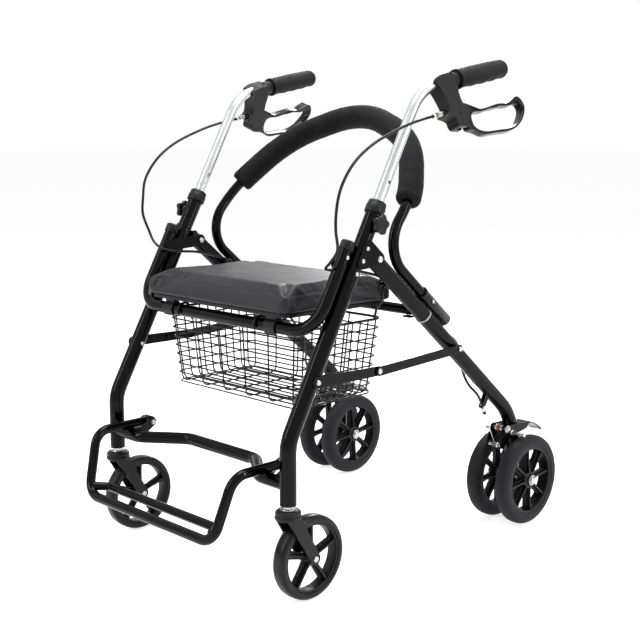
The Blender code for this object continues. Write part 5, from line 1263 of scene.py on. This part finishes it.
# Footrest: one loop of 17.5 mm tube that swings down from the brace's ears on two pins, with a
# second bar welded inside its front as the step.
FOOT_R = 0.00875
half_path = [(FOOT_X, FOOT_Y, FOOT_Z), (FOOT_X, -0.108, FOOT_Z), (0.178, -0.1397, 0.117)]
foot_path = half_path + [(-x, y, z) for x, y, z in reversed(half_path)]
foot = tube(bent(foot_path, [0.034] * 4), FOOT_R, 32)
step_path = [
    (0.172, -0.1357, 0.133), (0.156, -0.1087, 0.129), (-0.156, -0.1087, 0.129), (-0.172, -0.1357, 0.133)
]
tube(bent(step_path, [0.014, 0.014]), FOOT_R * 0.9, 28, mesh=foot)
for side, sign in SIDES:
    pivot = (sign * FOOT_X, FOOT_Y, FOOT_Z)
    turned(
        [
            (-0.0108, 0.0034), (-0.0108, 0.0092), (-0.0098, 0.0100), (0.0098, 0.0100), (0.0108, 0.0092),
            (0.0108, 0.0034),
        ],
        pivot, (1, 0, 0), 36, mesh=foot,
    )
make("footrest_loop", foot, ENAMEL, "footrest_frame", "frame_black", "footrest", bevel=0.0003, smooth=50)
for side, sign in SIDES:
    pivot = (sign * FOOT_X, FOOT_Y, FOOT_Z)
    pin = turned([(-0.0164, 0.0030), (0.0164, 0.0030)], pivot, (1, 0, 0), 20)
    for edge in (-1, 1):
        turned(
            [(0.0166, 0.0002), (0.0166, 0.0050), (0.0174, 0.0049), (0.0184, 0.0036), (0.0188, 0.0002)],
            pivot, (edge, 0, 0), 28, mesh=pin,
        )
    make(f"{side}_footrest_pin", pin, ZINC, "footrest_frame", "hardware_zinc")


# Handle tubes: 19 mm aluminium, anodised silver, bent back at the top, each drilled across for its
# knob's screw every 39 mm, so that the grips can stand at several heights.
# Anodised tube: a bright even satin with fine drawing lines along its length.
SILVER, tree, shader, place = surface("silver anodised aluminium", "C9CBCD", 0.27, 1.0)
drawn = add(tree, "ShaderNodeMapping", {}, {"Vector": place, "Scale": (900.0, 60.0, 40.0)})
lines = noise(tree, drawn.outputs[0], 1.0, 2.0)
cloud = noise(tree, place, 25.0, 3.0)
patchy(tree, shader, cloud, 0.22, 0.34)
raised(tree, shader, lines, 0.06, 0.0003)


def carved(mesh, *cutters):
    """The mesh with other closed meshes taken out of it."""
    data = bpy.data.meshes.new("carved")
    mesh.to_mesh(data)
    mesh.free()
    solid = bpy.data.objects.new("carved", data)
    bpy.context.scene.collection.objects.link(solid)
    tools = []
    for cutter in cutters:
        shape = bpy.data.meshes.new("cutter")
        cutter.to_mesh(shape)
        cutter.free()
        tool = bpy.data.objects.new("cutter", shape)
        bpy.context.scene.collection.objects.link(tool)
        boolean = solid.modifiers.new("cut", "BOOLEAN")
        boolean.operation = "DIFFERENCE"
        boolean.solver = "EXACT"
        boolean.object = tool
        tools.append(tool)
    graph = bpy.context.evaluated_depsgraph_get()
    plain = bpy.data.meshes.new_from_object(solid.evaluated_get(graph))
    made = bmesh.new()
    made.from_mesh(plain)
    for piece in (solid, *tools):
        bpy.data.objects.remove(piece)
    bpy.data.meshes.remove(plain)
    return made


RISE = math.radians(10.5)
GRIP_WAY = Vector((0, math.cos(RISE), math.sin(RISE)))
GRIP_UP = Vector((0, -math.sin(RISE), math.cos(RISE)))
HANDLE_CORNER = leg_at(0.845)
HOLE_PITCH = 0.039
TOE = math.radians(4)
MOUNT_TILT = math.radians(20)


def along_grip(y):
    """A point on the grip's axis at y."""
    return HANDLE_CORNER + GRIP_WAY * ((y - HANDLE_CORNER.y) / GRIP_WAY.y)


def handle_turn(sign, tilt=0.0):
    """How a handle stands: toed out about the leg, with its mount tilted about the grip."""
    centre = Matrix.Translation(at_x(sign * TRACK, HANDLE_CORNER))
    toe = Matrix.Rotation(-TOE * sign, 4, LEG_WAY)
    return centre @ toe @ Matrix.Rotation(-tilt * sign, 4, GRIP_WAY) @ centre.inverted()


def tilted(mesh, sign):
    """A mesh built upright, turned to where the grip, the mount and the lever stand."""
    bmesh.ops.transform(mesh, matrix=handle_turn(sign, MOUNT_TILT), verts=mesh.verts)
    return mesh


for side, sign in SIDES:
    x = sign * TRACK
    foot = leg_at(0.640) - LEG_WAY * 0.180
    end = handle_turn(sign) @ at_x(x, along_grip(0.497))
    path = bent([at_x(x, foot), at_x(x, HANDLE_CORNER), end], [0.095], 3)
    holes = []
    for k in (1, 2):
        spot = at_x(x, KNOB + LEG_WAY * (HOLE_PITCH * k))
        holes.append(turned([(-0.012, 0.0032), (0.012, 0.0032)], spot, (1, 0, 0), 24))
    pipe = carved(tube(path, THIN_R, 36), *holes)
    make(
        f"{side}_handle_pipe", pipe, SILVER, f"{side}_handle", "tube_silver", f"{side}_handle_tube",
        bevel=0.0003,
    )


# Grips: soft thermoplastic sleeves pushed over the tubes, swelling in the palm, with four finger
# waves beneath and a rounded closed end.
# Grip rubber: dull black, with the fine bead texture that keeps a hand from slipping.
GRIP_START, GRIP_END = 0.3716, 0.503
GRIP, tree, shader, place = surface("soft black grip rubber", "111112", 0.62, level=0.20)
beads = add(tree, "ShaderNodeTexVoronoi", {}, {"Vector": place, "Scale": 850.0})
wear = noise(tree, place, 30.0, 4.0)
patchy(tree, shader, wear, 0.56, 0.74)
raised(tree, shader, beads.outputs["Distance"], 0.35, 0.0005)

for side, sign in SIDES:
    x = sign * TRACK
    start = along_grip(GRIP_START)
    length = (GRIP_END - GRIP_START) / GRIP_WAY.y
    rows = []
    steps = 90
    for i in range(steps + 1):
        a = length * i / steps
        share = a / length
        half = 0.0170 + 0.0013 * math.sin(math.pi * min(1.0, share * 1.05)) ** 0.8
        if a < 0.0050:
            half = 0.0188 - 0.0006 * abs(a - 0.0025) / 0.0025
        elif a < 0.0070:
            half = 0.0168
        tail = max(0.0, (a - (length - 0.0130)) / 0.0130)
        half *= math.sqrt(max(0.0, 1 - tail * tail * 0.97))
        wave = 0.0
        if 0.008 < a < length - 0.012:
            wave = 0.0011 * (0.5 - 0.5 * math.cos(2 * math.pi * (a - 0.008) / ((length - 0.020) / 4)))
        row = []
        for j in range(48):
            turn = 2 * math.pi * j / 48
            under = max(0.0, -math.sin(turn)) ** 1.5
            radius = half - wave * under + 0.0004 * math.cos(2 * turn)
            row.append(
                start + GRIP_WAY * a + GRIP_UP * (radius * math.sin(turn)) + Vector((
                    x + radius * math.cos(turn), 0, 0
                ))
            )
        rows.append(row)
    bore = THIN_R + GAP
    inside = [
        ring(at_x(x, start + GRIP_WAY * a), Vector((1, 0, 0)), GRIP_UP, bore, 48)
        for a in (length - 0.0070, 0.0)
    ]
    cup = [
        ring(at_x(x, start + GRIP_WAY * a), Vector((1, 0, 0)), GRIP_UP, r, 48)
        for a, r in ((length - 0.0005, 0.0010), (length - 0.0070, 0.0010))
    ]
    handle = skin([*rows, *cup, *inside], loop=True)
    bmesh.ops.transform(handle, matrix=handle_turn(sign), verts=handle.verts)
    make(f"{side}_handle_grip", handle, GRIP, f"{side}_handle", "grip_rubber", f"{side}_grip", smooth=50)


# Brake housings: nylon clamps moulded round the bend of each handle tube, with two cheeks that hold
# the lever on a pin, a collar against the grip, and a zinc barrel with a lock nut for the cable.
def eased(a, b, c, d, t):
    """The point at share t of the way from b to c, on a smooth curve through four points."""
    k1, k2, k3 = (max((q - p).length, 1e-6) ** 0.5 for p, q in ((a, b), (b, c), (c, d)))
    out = ((b - a) / k1 - (c - a) / (k1 + k2) + (c - b) / k2) * k2
    into = ((c - b) / k2 - (d - b) / (k2 + k3) + (d - c) / k3) * k2
    start = b * (2 * t**3 - 3 * t**2 + 1) + out * (t**3 - 2 * t**2 + t)
    return start + c * (3 * t**2 - 2 * t**3) + into * (t**3 - t**2)


def smooth_outline(points, step=0.0035):
    """A closed smooth outline through (y, z) points."""
    knots = [Vector((0, *p)) for p in points]
    made = []
    count = len(knots)
    for i in range(count):
        a, b, c, d = (knots[(i + k - 1) % count] for k in range(4))
        steps = max(2, round((c - b).length / step))
        for j in range(steps):
            spot = eased(a, b, c, d, j / steps)
            made.append((spot.y, spot.z))
    return made


HOUSING_LINE = [
    (0.3075, 0.8525), (0.3190, 0.8615), (0.3400, 0.8670), (0.3530, 0.8690), (0.3578, 0.8570), (
        0.3572, 0.8300
    ),
    (0.3580, 0.8200), (0.3604, 0.8118), (0.3660, 0.8052), (0.3688, 0.7985), (0.3690, 0.7890), (
        0.3664, 0.7825
    ),
    (0.3620, 0.7775), (0.3598, 0.7692), (0.3500, 0.7688), (0.3392, 0.7706), (0.3352, 0.7770), (
        0.3350, 0.7832
    ),
    (0.3270, 0.7885), (0.3155, 0.7925), (0.3240, 0.7985), (0.3268, 0.8060), (0.3235, 0.8200), (
        0.3190, 0.8320
    ),
    (0.3130, 0.8440),
]
LEVER_PIN = Vector((0, 0.3480, 0.7940))
for side, sign in SIDES:
    x = sign * TRACK
    end = handle_turn(sign) @ at_x(x, along_grip(0.497))
    path = bent([at_x(x, leg_at(0.640)), at_x(x, HANDLE_CORNER), end], [0.095], 3)
    slot_line = [
        (0.3450, 0.7600), (0.3900, 0.7600), (0.3900, 0.8230), (0.3520, 0.8085), (0.3382, 0.8050),
        (0.3382, 0.7865), (0.3450, 0.7800),
    ]
    slot = tilted(plate(slot_line, x - 0.0051, x + 0.0051), sign)
    body = tilted(plate(smooth_outline(HOUSING_LINE), x - 0.0138, x + 0.0138), sign)
    block = carved(body, tube(path, THIN_R + GAP, 32), slot)
    make(
        f"{side}_brake_mount", block, PLASTIC, f"{side}_handle", "plastic_black", f"{side}_brake_housing",
        bevel=0.0022, smooth=35,
    )

    collar = [
        (-0.0030, THIN_R + GAP), (-0.0030, 0.0128), (-0.0022, 0.0137), (0.0178, 0.0137), (0.0186, 0.0128),
        (0.0186, THIN_R + GAP),
    ]
    collar = tilted(turned(collar, at_x(x, along_grip(0.352)), GRIP_WAY, 40, loop=True), sign)
    make(f"{side}_mount_ring", collar, PLASTIC, f"{side}_handle", "plastic_black", bevel=0.0003)

    pin = tilted(
        turned(
            [(-0.0139, 0.0002), (-0.0139, 0.0025), (0.0139, 0.0025), (0.0139, 0.0002)], at_x(x, LEVER_PIN),
            (1, 0, 0), 24,
        ),
        sign,
    )
    make(f"{side}_lever_pin", pin, ENAMEL, f"{side}_handle", "frame_black")

    start = Vector((x, 0.2940, 0.7925))
    way = Vector((0, 0.9, 0.18)).normalized()
    barrel = turned(
        [
            (0.0, 0.0027), (0.0, 0.0040), (0.0010, 0.0046), (0.0070, 0.0046), (0.0078, 0.0040),
            (0.0280, 0.0040), (0.0280, 0.0027),
        ],
        start, way, 32, loop=True,
    )
    thread = []
    for i in range(8):
        a = 0.0140 + 0.0011 * i
        thread += [(a, 0.0040), (a + 0.00055, 0.0045)]
    turned([(0.0130, 0.0030), *thread, (0.0232, 0.0030)], start, way, 24, mesh=barrel)
    nut = turned(
        [(0.0094, 0.0030), (0.0094, 0.0054), (0.0128, 0.0054), (0.0128, 0.0030)], start, way, 6, loop=True
    )
    make(
        f"{side}_cable_barrel", tilted(merged(barrel, nut), sign), ZINC, f"{side}_handle", "hardware_zinc",
        bevel=0.0002,
    )
    horn = turned(
        [
            (0.0220, 0.0030), (0.0220, 0.0052), (0.0230, 0.0055), (0.0390, 0.0055), (0.0400, 0.0045),
            (0.0400, 0.0030),
        ],
        start, way, 32, loop=True,
    )
    make(f"{side}_cable_horn", tilted(horn, sign), PLASTIC, f"{side}_handle", "plastic_black", bevel=0.0004)


# Brake levers: glass-filled nylon loops on a pin, squeezed up to brake and pushed down to park. The
# band is a rounded strap, broadest at its end loop, and a tongue runs into the housing's slot.
LEVER_OUT = [
    (0.3640, 0.8095), (0.3662, 0.8145), (0.3705, 0.8118), (0.3760, 0.8050), (0.3850, 0.8032), (
        0.4028, 0.8030
    ),
    (0.4160, 0.8047), (0.4296, 0.8076), (0.4438, 0.8114), (0.4575, 0.8138), (0.4703, 0.8136), (
        0.4784, 0.8146
    ),
    (0.4914, 0.8211), (0.5012, 0.8262), (0.5080, 0.8275), (0.5145, 0.8243), (0.5192, 0.8173), (
        0.5214, 0.8090
    ),
    (0.5192, 0.8000), (0.5120, 0.7885), (0.5020, 0.7780), (0.4900, 0.7700), (0.4760, 0.7638), (
        0.4600, 0.7604
    ),
    (0.4400, 0.7589), (0.4200, 0.7568), (0.4080, 0.7553), (0.3980, 0.7560), (0.3880, 0.7600), (
        0.3780, 0.7637
    ),
    (0.3665, 0.7668), (0.3640, 0.7745), (0.3690, 0.7860), (0.3706, 0.7940), (0.3690, 0.8020),
]
LEVER_IN = [
    (0.3786, 0.7780), (0.3786, 0.7880), (0.3835, 0.7952), (0.3930, 0.7978), (0.4060, 0.7986), (
        0.4200, 0.8010
    ),
    (0.4330, 0.8046), (0.4400, 0.8050), (0.4472, 0.8060), (0.4600, 0.8092), (0.4690, 0.8092), (
        0.4790, 0.8096
    ),
    (0.4880, 0.8104), (0.4971, 0.8140), (0.5045, 0.8165), (0.5108, 0.8130), (0.5130, 0.8050), (
        0.5108, 0.7985
    ),
    (0.5050, 0.7900), (0.4970, 0.7815), (0.4890, 0.7748), (0.4780, 0.7692), (0.4640, 0.7654), (
        0.4440, 0.7640
    ),
    (0.4254, 0.7624), (0.4080, 0.7612), (0.3950, 0.7627), (0.3850, 0.7670), (0.3800, 0.7722),
]

# Gloss moulding: the lever's mould was polished, so it mirrors a lamp along its edges.
GLOSS, tree, shader, place = surface("polished black nylon moulding", "0A0A0C", 0.20, ior=1.53, level=0.20)
swell = noise(tree, place, 60.0, 3.0)
patchy(tree, shader, swell, 0.15, 0.27)
raised(tree, shader, swell, 0.05, 0.002)


def spread(outline, count):
    """The same closed outline with evenly spaced points."""
    points = [Vector((0, *p)) for p in outline]
    length = sum((b - a).length for a, b in zip(points, points[1:] + points[:1]))
    return even(points + points[:1], length / count)[:-1]


for side, sign in SIDES:
    x = sign * TRACK
    outside = spread(smooth_outline(LEVER_OUT), 160)
    inside_line = spread(smooth_outline(LEVER_IN), 640)
    middle = Vector((0, 0.447, 0.788))
    rows = []
    for spot in outside:
        near = min(
            inside_line,
            key=lambda q: (q - spot).length + 0.35 * abs(
                (q - middle).normalized().cross((spot - middle).normalized()).x
            ),
        )
        half = 0.0088 + 0.0007 * max(0.0, min(1.0, (spot.y - 0.45) / 0.06))
        into = near - spot
        round_by = min(0.0030, into.length * 0.42)
        way = into.normalized()
        row = []
        for cx, cy, start in (
            (half - round_by, round_by, 0), (half - round_by, into.length - round_by, 90),
            (-half + round_by, into.length - round_by, 180), (-half + round_by, round_by, 270),
        ):
            for k in range(5):
                turn = math.radians(start - 90 + 90 * k / 4)
                row.append(
                    Vector((x + cx + round_by * math.cos(turn), 0, 0)) + spot + way * (
                        cy + round_by * math.sin(turn)
                    )
                )
        rows.append(row)
    loop = skin(rows, loop=True)
    root = hull([(LEVER_PIN.y, LEVER_PIN.z, 0.0085), (0.3745, 0.8010, 0.0060), (0.3745, 0.7830, 0.0065)])
    bmesh.ops.recalc_face_normals(loop, faces=loop.faces)
    tongue = plate(root, x - 0.0045, x + 0.0045)
    make(
        f"{side}_lever_loop", tilted(merged(loop, tongue), sign), GLOSS, f"{side}_brake_lever",
        "plastic_black", f"{side}_brake_lever", bevel=0.0008, smooth=50,
    )


# Brake cables: 5 mm black vinyl housings round a steel wire, looped down from the levers, along the
# rear legs and into a zinc ferrule at each leg's lug, where the bare wire goes on to the crank.
CABLE_ROUTE = [
    (0.2616, 0.2922, 0.7963), (0.2619, 0.2577, 0.7895), (0.2626, 0.2072, 0.7760), (0.2632, 0.1337, 0.7469),
    (0.2636, 0.0913, 0.7170), (0.2639, 0.0638, 0.6792), (0.2620, 0.0564, 0.6450), (0.2620, 0.0550, 0.6150),
    (0.2560, 0.0650, 0.5800), (0.2400, 0.0650, 0.5600),
    (0.2220, 0.0720, 0.5480), (0.2140, 0.0950, 0.5430), (0.2150, 0.1500, 0.5370), (0.2180, 0.2000, 0.5250),
    (0.2185, 0.2300, 0.5140), (0.2230, 0.2600, 0.4920), (0.2245, 0.2850, 0.4725), (0.2262, 0.3100, 0.4545),
    (0.2262, 0.3500, 0.4210), (0.2310, 0.3800, 0.4010), (0.2320, 0.4030, 0.3850), (0.2260, 0.4240, 0.3580),
    (0.2205, 0.4400, 0.3220), (0.2250, 0.4550, 0.2920), (0.2380, 0.4650, 0.2740), (0.2410, 0.4720, 0.2600),
    (0.2410, 0.4830, 0.2391),
]
CABLE_WIRE = [(0.4825, 0.2400), (0.4900, 0.2257), (0.5200, 0.1687)]

# Extruded vinyl housing: smooth satin black with a faint spiral from the wire wound beneath it.
SLEEVE, tree, shader, place = surface(
    "extruded black vinyl cable housing", "0D0D0E", 0.36, ior=1.53, level=0.20
)
drift = noise(tree, place, 90.0, 3.0)
patchy(tree, shader, drift, 0.30, 0.44)
raised(tree, shader, drift, 0.08, 0.0008)


def smooth_route(knots, step):
    """Points about every step along a smooth curve through the knots."""
    knots = [Vector(p) for p in knots]
    padded = [knots[0] * 2 - knots[1], *knots, knots[-1] * 2 - knots[-2]]
    dense = []
    for run in zip(padded, padded[1:], padded[2:], padded[3:]):
        dense += [eased(*run, i / 16) for i in range(16)]
    dense.append(knots[-1])
    return even(dense, step)


for side, sign in SIDES:
    route = smooth_route([(sign * x, y, z) for x, y, z in CABLE_ROUTE], 0.004)
    cable = tube(route, 0.0025, 16)
    piece = make(f"{side}_cable_housing", cable, SLEEVE, None, "wire_black", f"{side}_brake_cable")
    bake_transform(piece)

    x = sign * TRACK
    end = at_x(x, (0, 0.4830, 0.2391))
    way = (at_x(x, (0, 0.4830, 0.2391)) - at_x(x, (0, 0.4720, 0.2600))).normalized()
    ferrule = turned(
        [
            (-0.0170, 0.0026), (-0.0170, 0.0034), (-0.0162, 0.0037), (-0.0060, 0.0037), (-0.0052, 0.0034),
            (0.0012, 0.0034), (0.0018, 0.0028), (0.0018, 0.0010),
        ],
        end, way, 28,
    )
    nut = turned(
        [(-0.0112, 0.0030), (-0.0112, 0.0056), (-0.0078, 0.0056), (-0.0078, 0.0030)], end, way, 6,
        loop=True,
    )
    strand = tube([at_x(x, (0, *p)) for p in CABLE_WIRE], 0.0008, 10)
    make(
        f"{side}_cable_ferrule", merged(ferrule, nut, strand), ZINC, "rear_frame", "hardware_zinc",
        bevel=0.0002,
    )
    boot = turned(
        [
            (0.0006, 0.0010), (0.0006, 0.0036), (0.0020, 0.0040), (0.0060, 0.0038), (0.0085, 0.0028),
            (0.0090, 0.0010),
        ],
        end, way, 24,
    )
    make(f"{side}_cable_boot", boot, SLEEVE, "rear_frame", "wire_black", bevel=0.0003)

# Cable ties: clear nylon straps cinched round each rear leg and its cable, with a square head.
TIE, tree, shader, place = surface("natural nylon cable tie", "D9DBDA", 0.38, ior=1.53)
shader.inputs["Transmission Weight"].default_value = 0.45
milk = noise(tree, place, 500.0, 2.0)
patchy(tree, shader, milk, 0.30, 0.46, 0.0, 1.0)

for side, sign in SIDES:
    centre = at_x(sign * TRACK, rear_leg_at(0.299))
    dots = hull([(0, 0, LEG_R + GAP), (-sign * 0.0158, 0.0128, 0.0029)], 48)
    outer = hull([(0, 0, LEG_R + 0.0013), (-sign * 0.0158, 0.0128, 0.0039)], 48)
    inner_ring = even([Vector((a, b, 0)) for a, b in dots + dots[:1]], 0.0016)[:-1]
    count = len(inner_ring)
    outer_ring = even([Vector((a, b, 0)) for a, b in outer + outer[:1]], 1e-3)
    outer_ring = [min(outer_ring, key=lambda q: (q - p).length) for p in inner_ring]
    rows = []
    for p, q in zip(inner_ring, outer_ring):
        row = []
        for dot, along in ((p, -0.0018), (q, -0.0018), (q, 0.0018), (p, 0.0018)):
            row.append(centre + Vector((dot.x, 0, 0)) + REAR_UP * dot.y + REAR_WAY * along)
        rows.append(row)
    tie = skin(rows, loop=True)
    head = centre + REAR_UP * (LEG_R + 0.0032)
    corners = []
    for along in (-0.0028, 0.0028):
        corners.append([
            head + Vector((a, 0, 0)) + REAR_UP * b + REAR_WAY * along
            for a, b in ((-0.0030, -0.0018), (0.0030, -0.0018), (0.0030, 0.0020), (-0.0030, 0.0020))
        ])
    skin(corners, mesh=tie)
    tail = [head + Vector((sign * 0.0028, 0, 0)), head + Vector((sign * 0.0075, 0, 0)) + REAR_UP * 0.0010]
    skin(
        [
            [
                p + REAR_UP * b + REAR_WAY * a
                for a, b in ((-0.0018, -0.0005), (0.0018, -0.0005), (0.0018, 0.0005), (-0.0018, 0.0005))
            ]
            for p in tail
        ],
        mesh=tie,
    )
    make(f"{side}_leg_tie", tie, TIE, "rear_frame", "hardware_zinc", bevel=0.0002)


# Rear brakes: a pressed steel crank on a bolt above each pair of wheels, pulled by the cable so
# that its bar presses on both tyres, with a foot pedal behind and a coil spring that lifts it off.
PEDAL_TIP = Vector((0, 0.6624, 0.1697))
SHOE = Vector((0, 0.5545, 0.1850))
CLAMP = Vector((0, 0.5227, 0.1635))

# Spring wire: copper-washed steel drawn through a die, dark red brown with a metal glint.
SPRING, tree, shader, place = surface("copper washed spring wire", "6E3A2C", 0.34, 0.9)
tarnish = noise(tree, place, 400.0, 3.0)
toned(tree, shader, tarnish, "4A241C", "8A4B38")

for side, sign in SIDES:
    x = sign * TRACK
    body = f"{side}_rear_brake"
    rear = REAR_AXLE.y + LEG_R + 0.010
    cheek_line = smooth_outline([
        (CLAMP.y - 0.0060, CLAMP.z - 0.0010), (BRAKE.y - 0.0085, BRAKE.z - 0.0020),
        (BRAKE.y - 0.0030, BRAKE.z + 0.0060), (BRAKE.y + 0.0040, BRAKE.z + 0.0068),
        (rear - 0.0100, BRAKE.z + 0.0045), (rear + 0.0025, BRAKE.z + 0.0010),
        (rear + 0.0020, BRAKE.z - 0.0070), (SHOE.y + 0.0045, SHOE.z - 0.0045),
        (SHOE.y - 0.0050, SHOE.z - 0.0060), (CLAMP.y + 0.0060, CLAMP.z - 0.0035),
        (CLAMP.y + 0.0010, CLAMP.z - 0.0058),
    ], 0.002)
    crank = plate(cheek_line, x + 0.0151, x + 0.0178)
    plate(cheek_line, x - 0.0178, x - 0.0151, mesh=crank)
    ridge = [
        (rear - 0.004, BRAKE.z - 0.0030, 0.0170), (rear + 0.006, BRAKE.z - 0.0020, 0.0173),
        (rear + 0.018, BRAKE.z - 0.0012, 0.0175), (PEDAL_TIP.y - 0.026, PEDAL_TIP.z + 0.0170, 0.0177),
        (PEDAL_TIP.y - 0.012, PEDAL_TIP.z + 0.0090, 0.0175),
        (PEDAL_TIP.y - 0.0035, PEDAL_TIP.z + 0.0022, 0.0165),
        (PEDAL_TIP.y - 0.0008, PEDAL_TIP.z + 0.0006, 0.0135),
    ]
    centre_line = smooth_route([(0, y, z) for y, z, _ in ridge], 0.0015)
    widths = [w for _, _, w in ridge]
    rows = []
    last = len(centre_line) - 1
    for i, (spot, across, up) in enumerate(stations(centre_line)):
        place_in = i / last * (len(widths) - 1)
        k = min(int(place_in), len(widths) - 2)
        half = widths[k] + (widths[k + 1] - widths[k]) * (place_in - k)
        curl = 0.0014 * max(0.0, i / last - 0.25)
        flat = [
            (-half, 0.0003), (-half, 0.0012), (-half * 0.86, 0.0016), (-half * 0.4, 0.0014 + curl),
            (half * 0.4, 0.0014 + curl), (half * 0.86, 0.0016), (half, 0.0012), (half, 0.0003),
        ]
        flat += [
            (half * 0.84, -0.0013), (half * 0.4, -0.0014 + curl), (-half * 0.4, -0.0014 + curl),
            (-half * 0.84, -0.0013),
        ]
        normal = Vector((
            0, -(centre_line[min(i + 1, last)] - centre_line[max(i - 1, 0)]).z,
            (centre_line[min(i + 1, last)] - centre_line[max(i - 1, 0)]).y,
        )).normalized()
        rows.append([spot + Vector((x + a, 0, 0)) + normal * b for a, b in flat])
    skin(rows, mesh=crank)
    make(f"{side}_brake_crank", crank, ENAMEL, body, "frame_black", body, bevel=0.0005, smooth=50)

    bar = turned(
        [
            (-0.0470, 0.0002), (-0.0470, 0.0034), (-0.0464, 0.0040), (0.0464, 0.0040), (0.0470, 0.0034),
            (0.0470, 0.0002),
        ],
        at_x(x, SHOE), (1, 0, 0), 28,
    )
    turned([(-0.0205, 0.0030), (0.0205, 0.0030)], at_x(x, BRAKE), (1, 0, 0), 24, mesh=bar)
    turned([(-0.0079, 0.0070), (0.0079, 0.0070)], at_x(x, BRAKE), (1, 0, 0), 32, mesh=bar)
    for edge in (-1, 1):
        turned(
            [(0.0179, 0.0002), (0.0179, 0.0080), (0.0187, 0.0081), (0.0189, 0.0078), (0.0189, 0.0002)],
            at_x(x, BRAKE), (edge, 0, 0), 32, mesh=bar,
        )
        turned(
            [(0.0187, 0.0002), (0.0187, 0.0058), (0.0207, 0.0058), (0.0211, 0.0050), (0.0212, 0.0002)],
            at_x(x, BRAKE), (edge, 0, 0), 6, mesh=bar,
        )
        turned(
            [(0.0177, 0.0002), (0.0177, 0.0060), (0.0184, 0.0059), (0.0195, 0.0040), (0.0199, 0.0002)],
            at_x(x, SHOE), (edge, 0, 0), 28, mesh=bar,
        )
    turned([(-0.0165, 0.0032), (0.0165, 0.0032)], at_x(x, CLAMP), (1, 0, 0), 24, mesh=bar)
    turned(
        [(-0.0052, 0.0002), (-0.0052, 0.0052), (0.0052, 0.0052), (0.0052, 0.0002)], at_x(x, CLAMP),
        (1, 0, 0), 6, mesh=bar,
    )
    turned(
        [
            (0.0054, 0.0002), (0.0054, 0.0060), (0.0062, 0.0062), (0.0090, 0.0056), (0.0100, 0.0040),
            (0.0102, 0.0002),
        ],
        at_x(x, CLAMP), (sign, 0, 0), 28, mesh=bar,
    )
    make(f"{side}_brake_hardware", bar, ZINC, body, "hardware_zinc", bevel=0.0002)

    per_turn, turns, pitch, coil = 24, 3, 0.0023, 0.0087
    steps = per_turn * turns
    points = []
    for i in range(steps + 1):
        turn = math.radians(60) + 2 * math.pi * i / per_turn
        points.append(
            Vector((
                x + sign * (pitch * i / per_turn - pitch * turns / 2), BRAKE.y + coil * math.cos(turn),
                BRAKE.z + coil * math.sin(turn),
            ))
        )
    first, final = (points[0] - points[1]).normalized(), (points[-1] - points[-2]).normalized()
    points = [points[0] + first * 0.007, *points, points[-1] + final * 0.007]
    make(
        f"{side}_return_spring", tube(points, 0.0008, 10), SPRING, "rear_frame", "spring_copper",
        f"{side}_brake_spring",
    )


low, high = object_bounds()
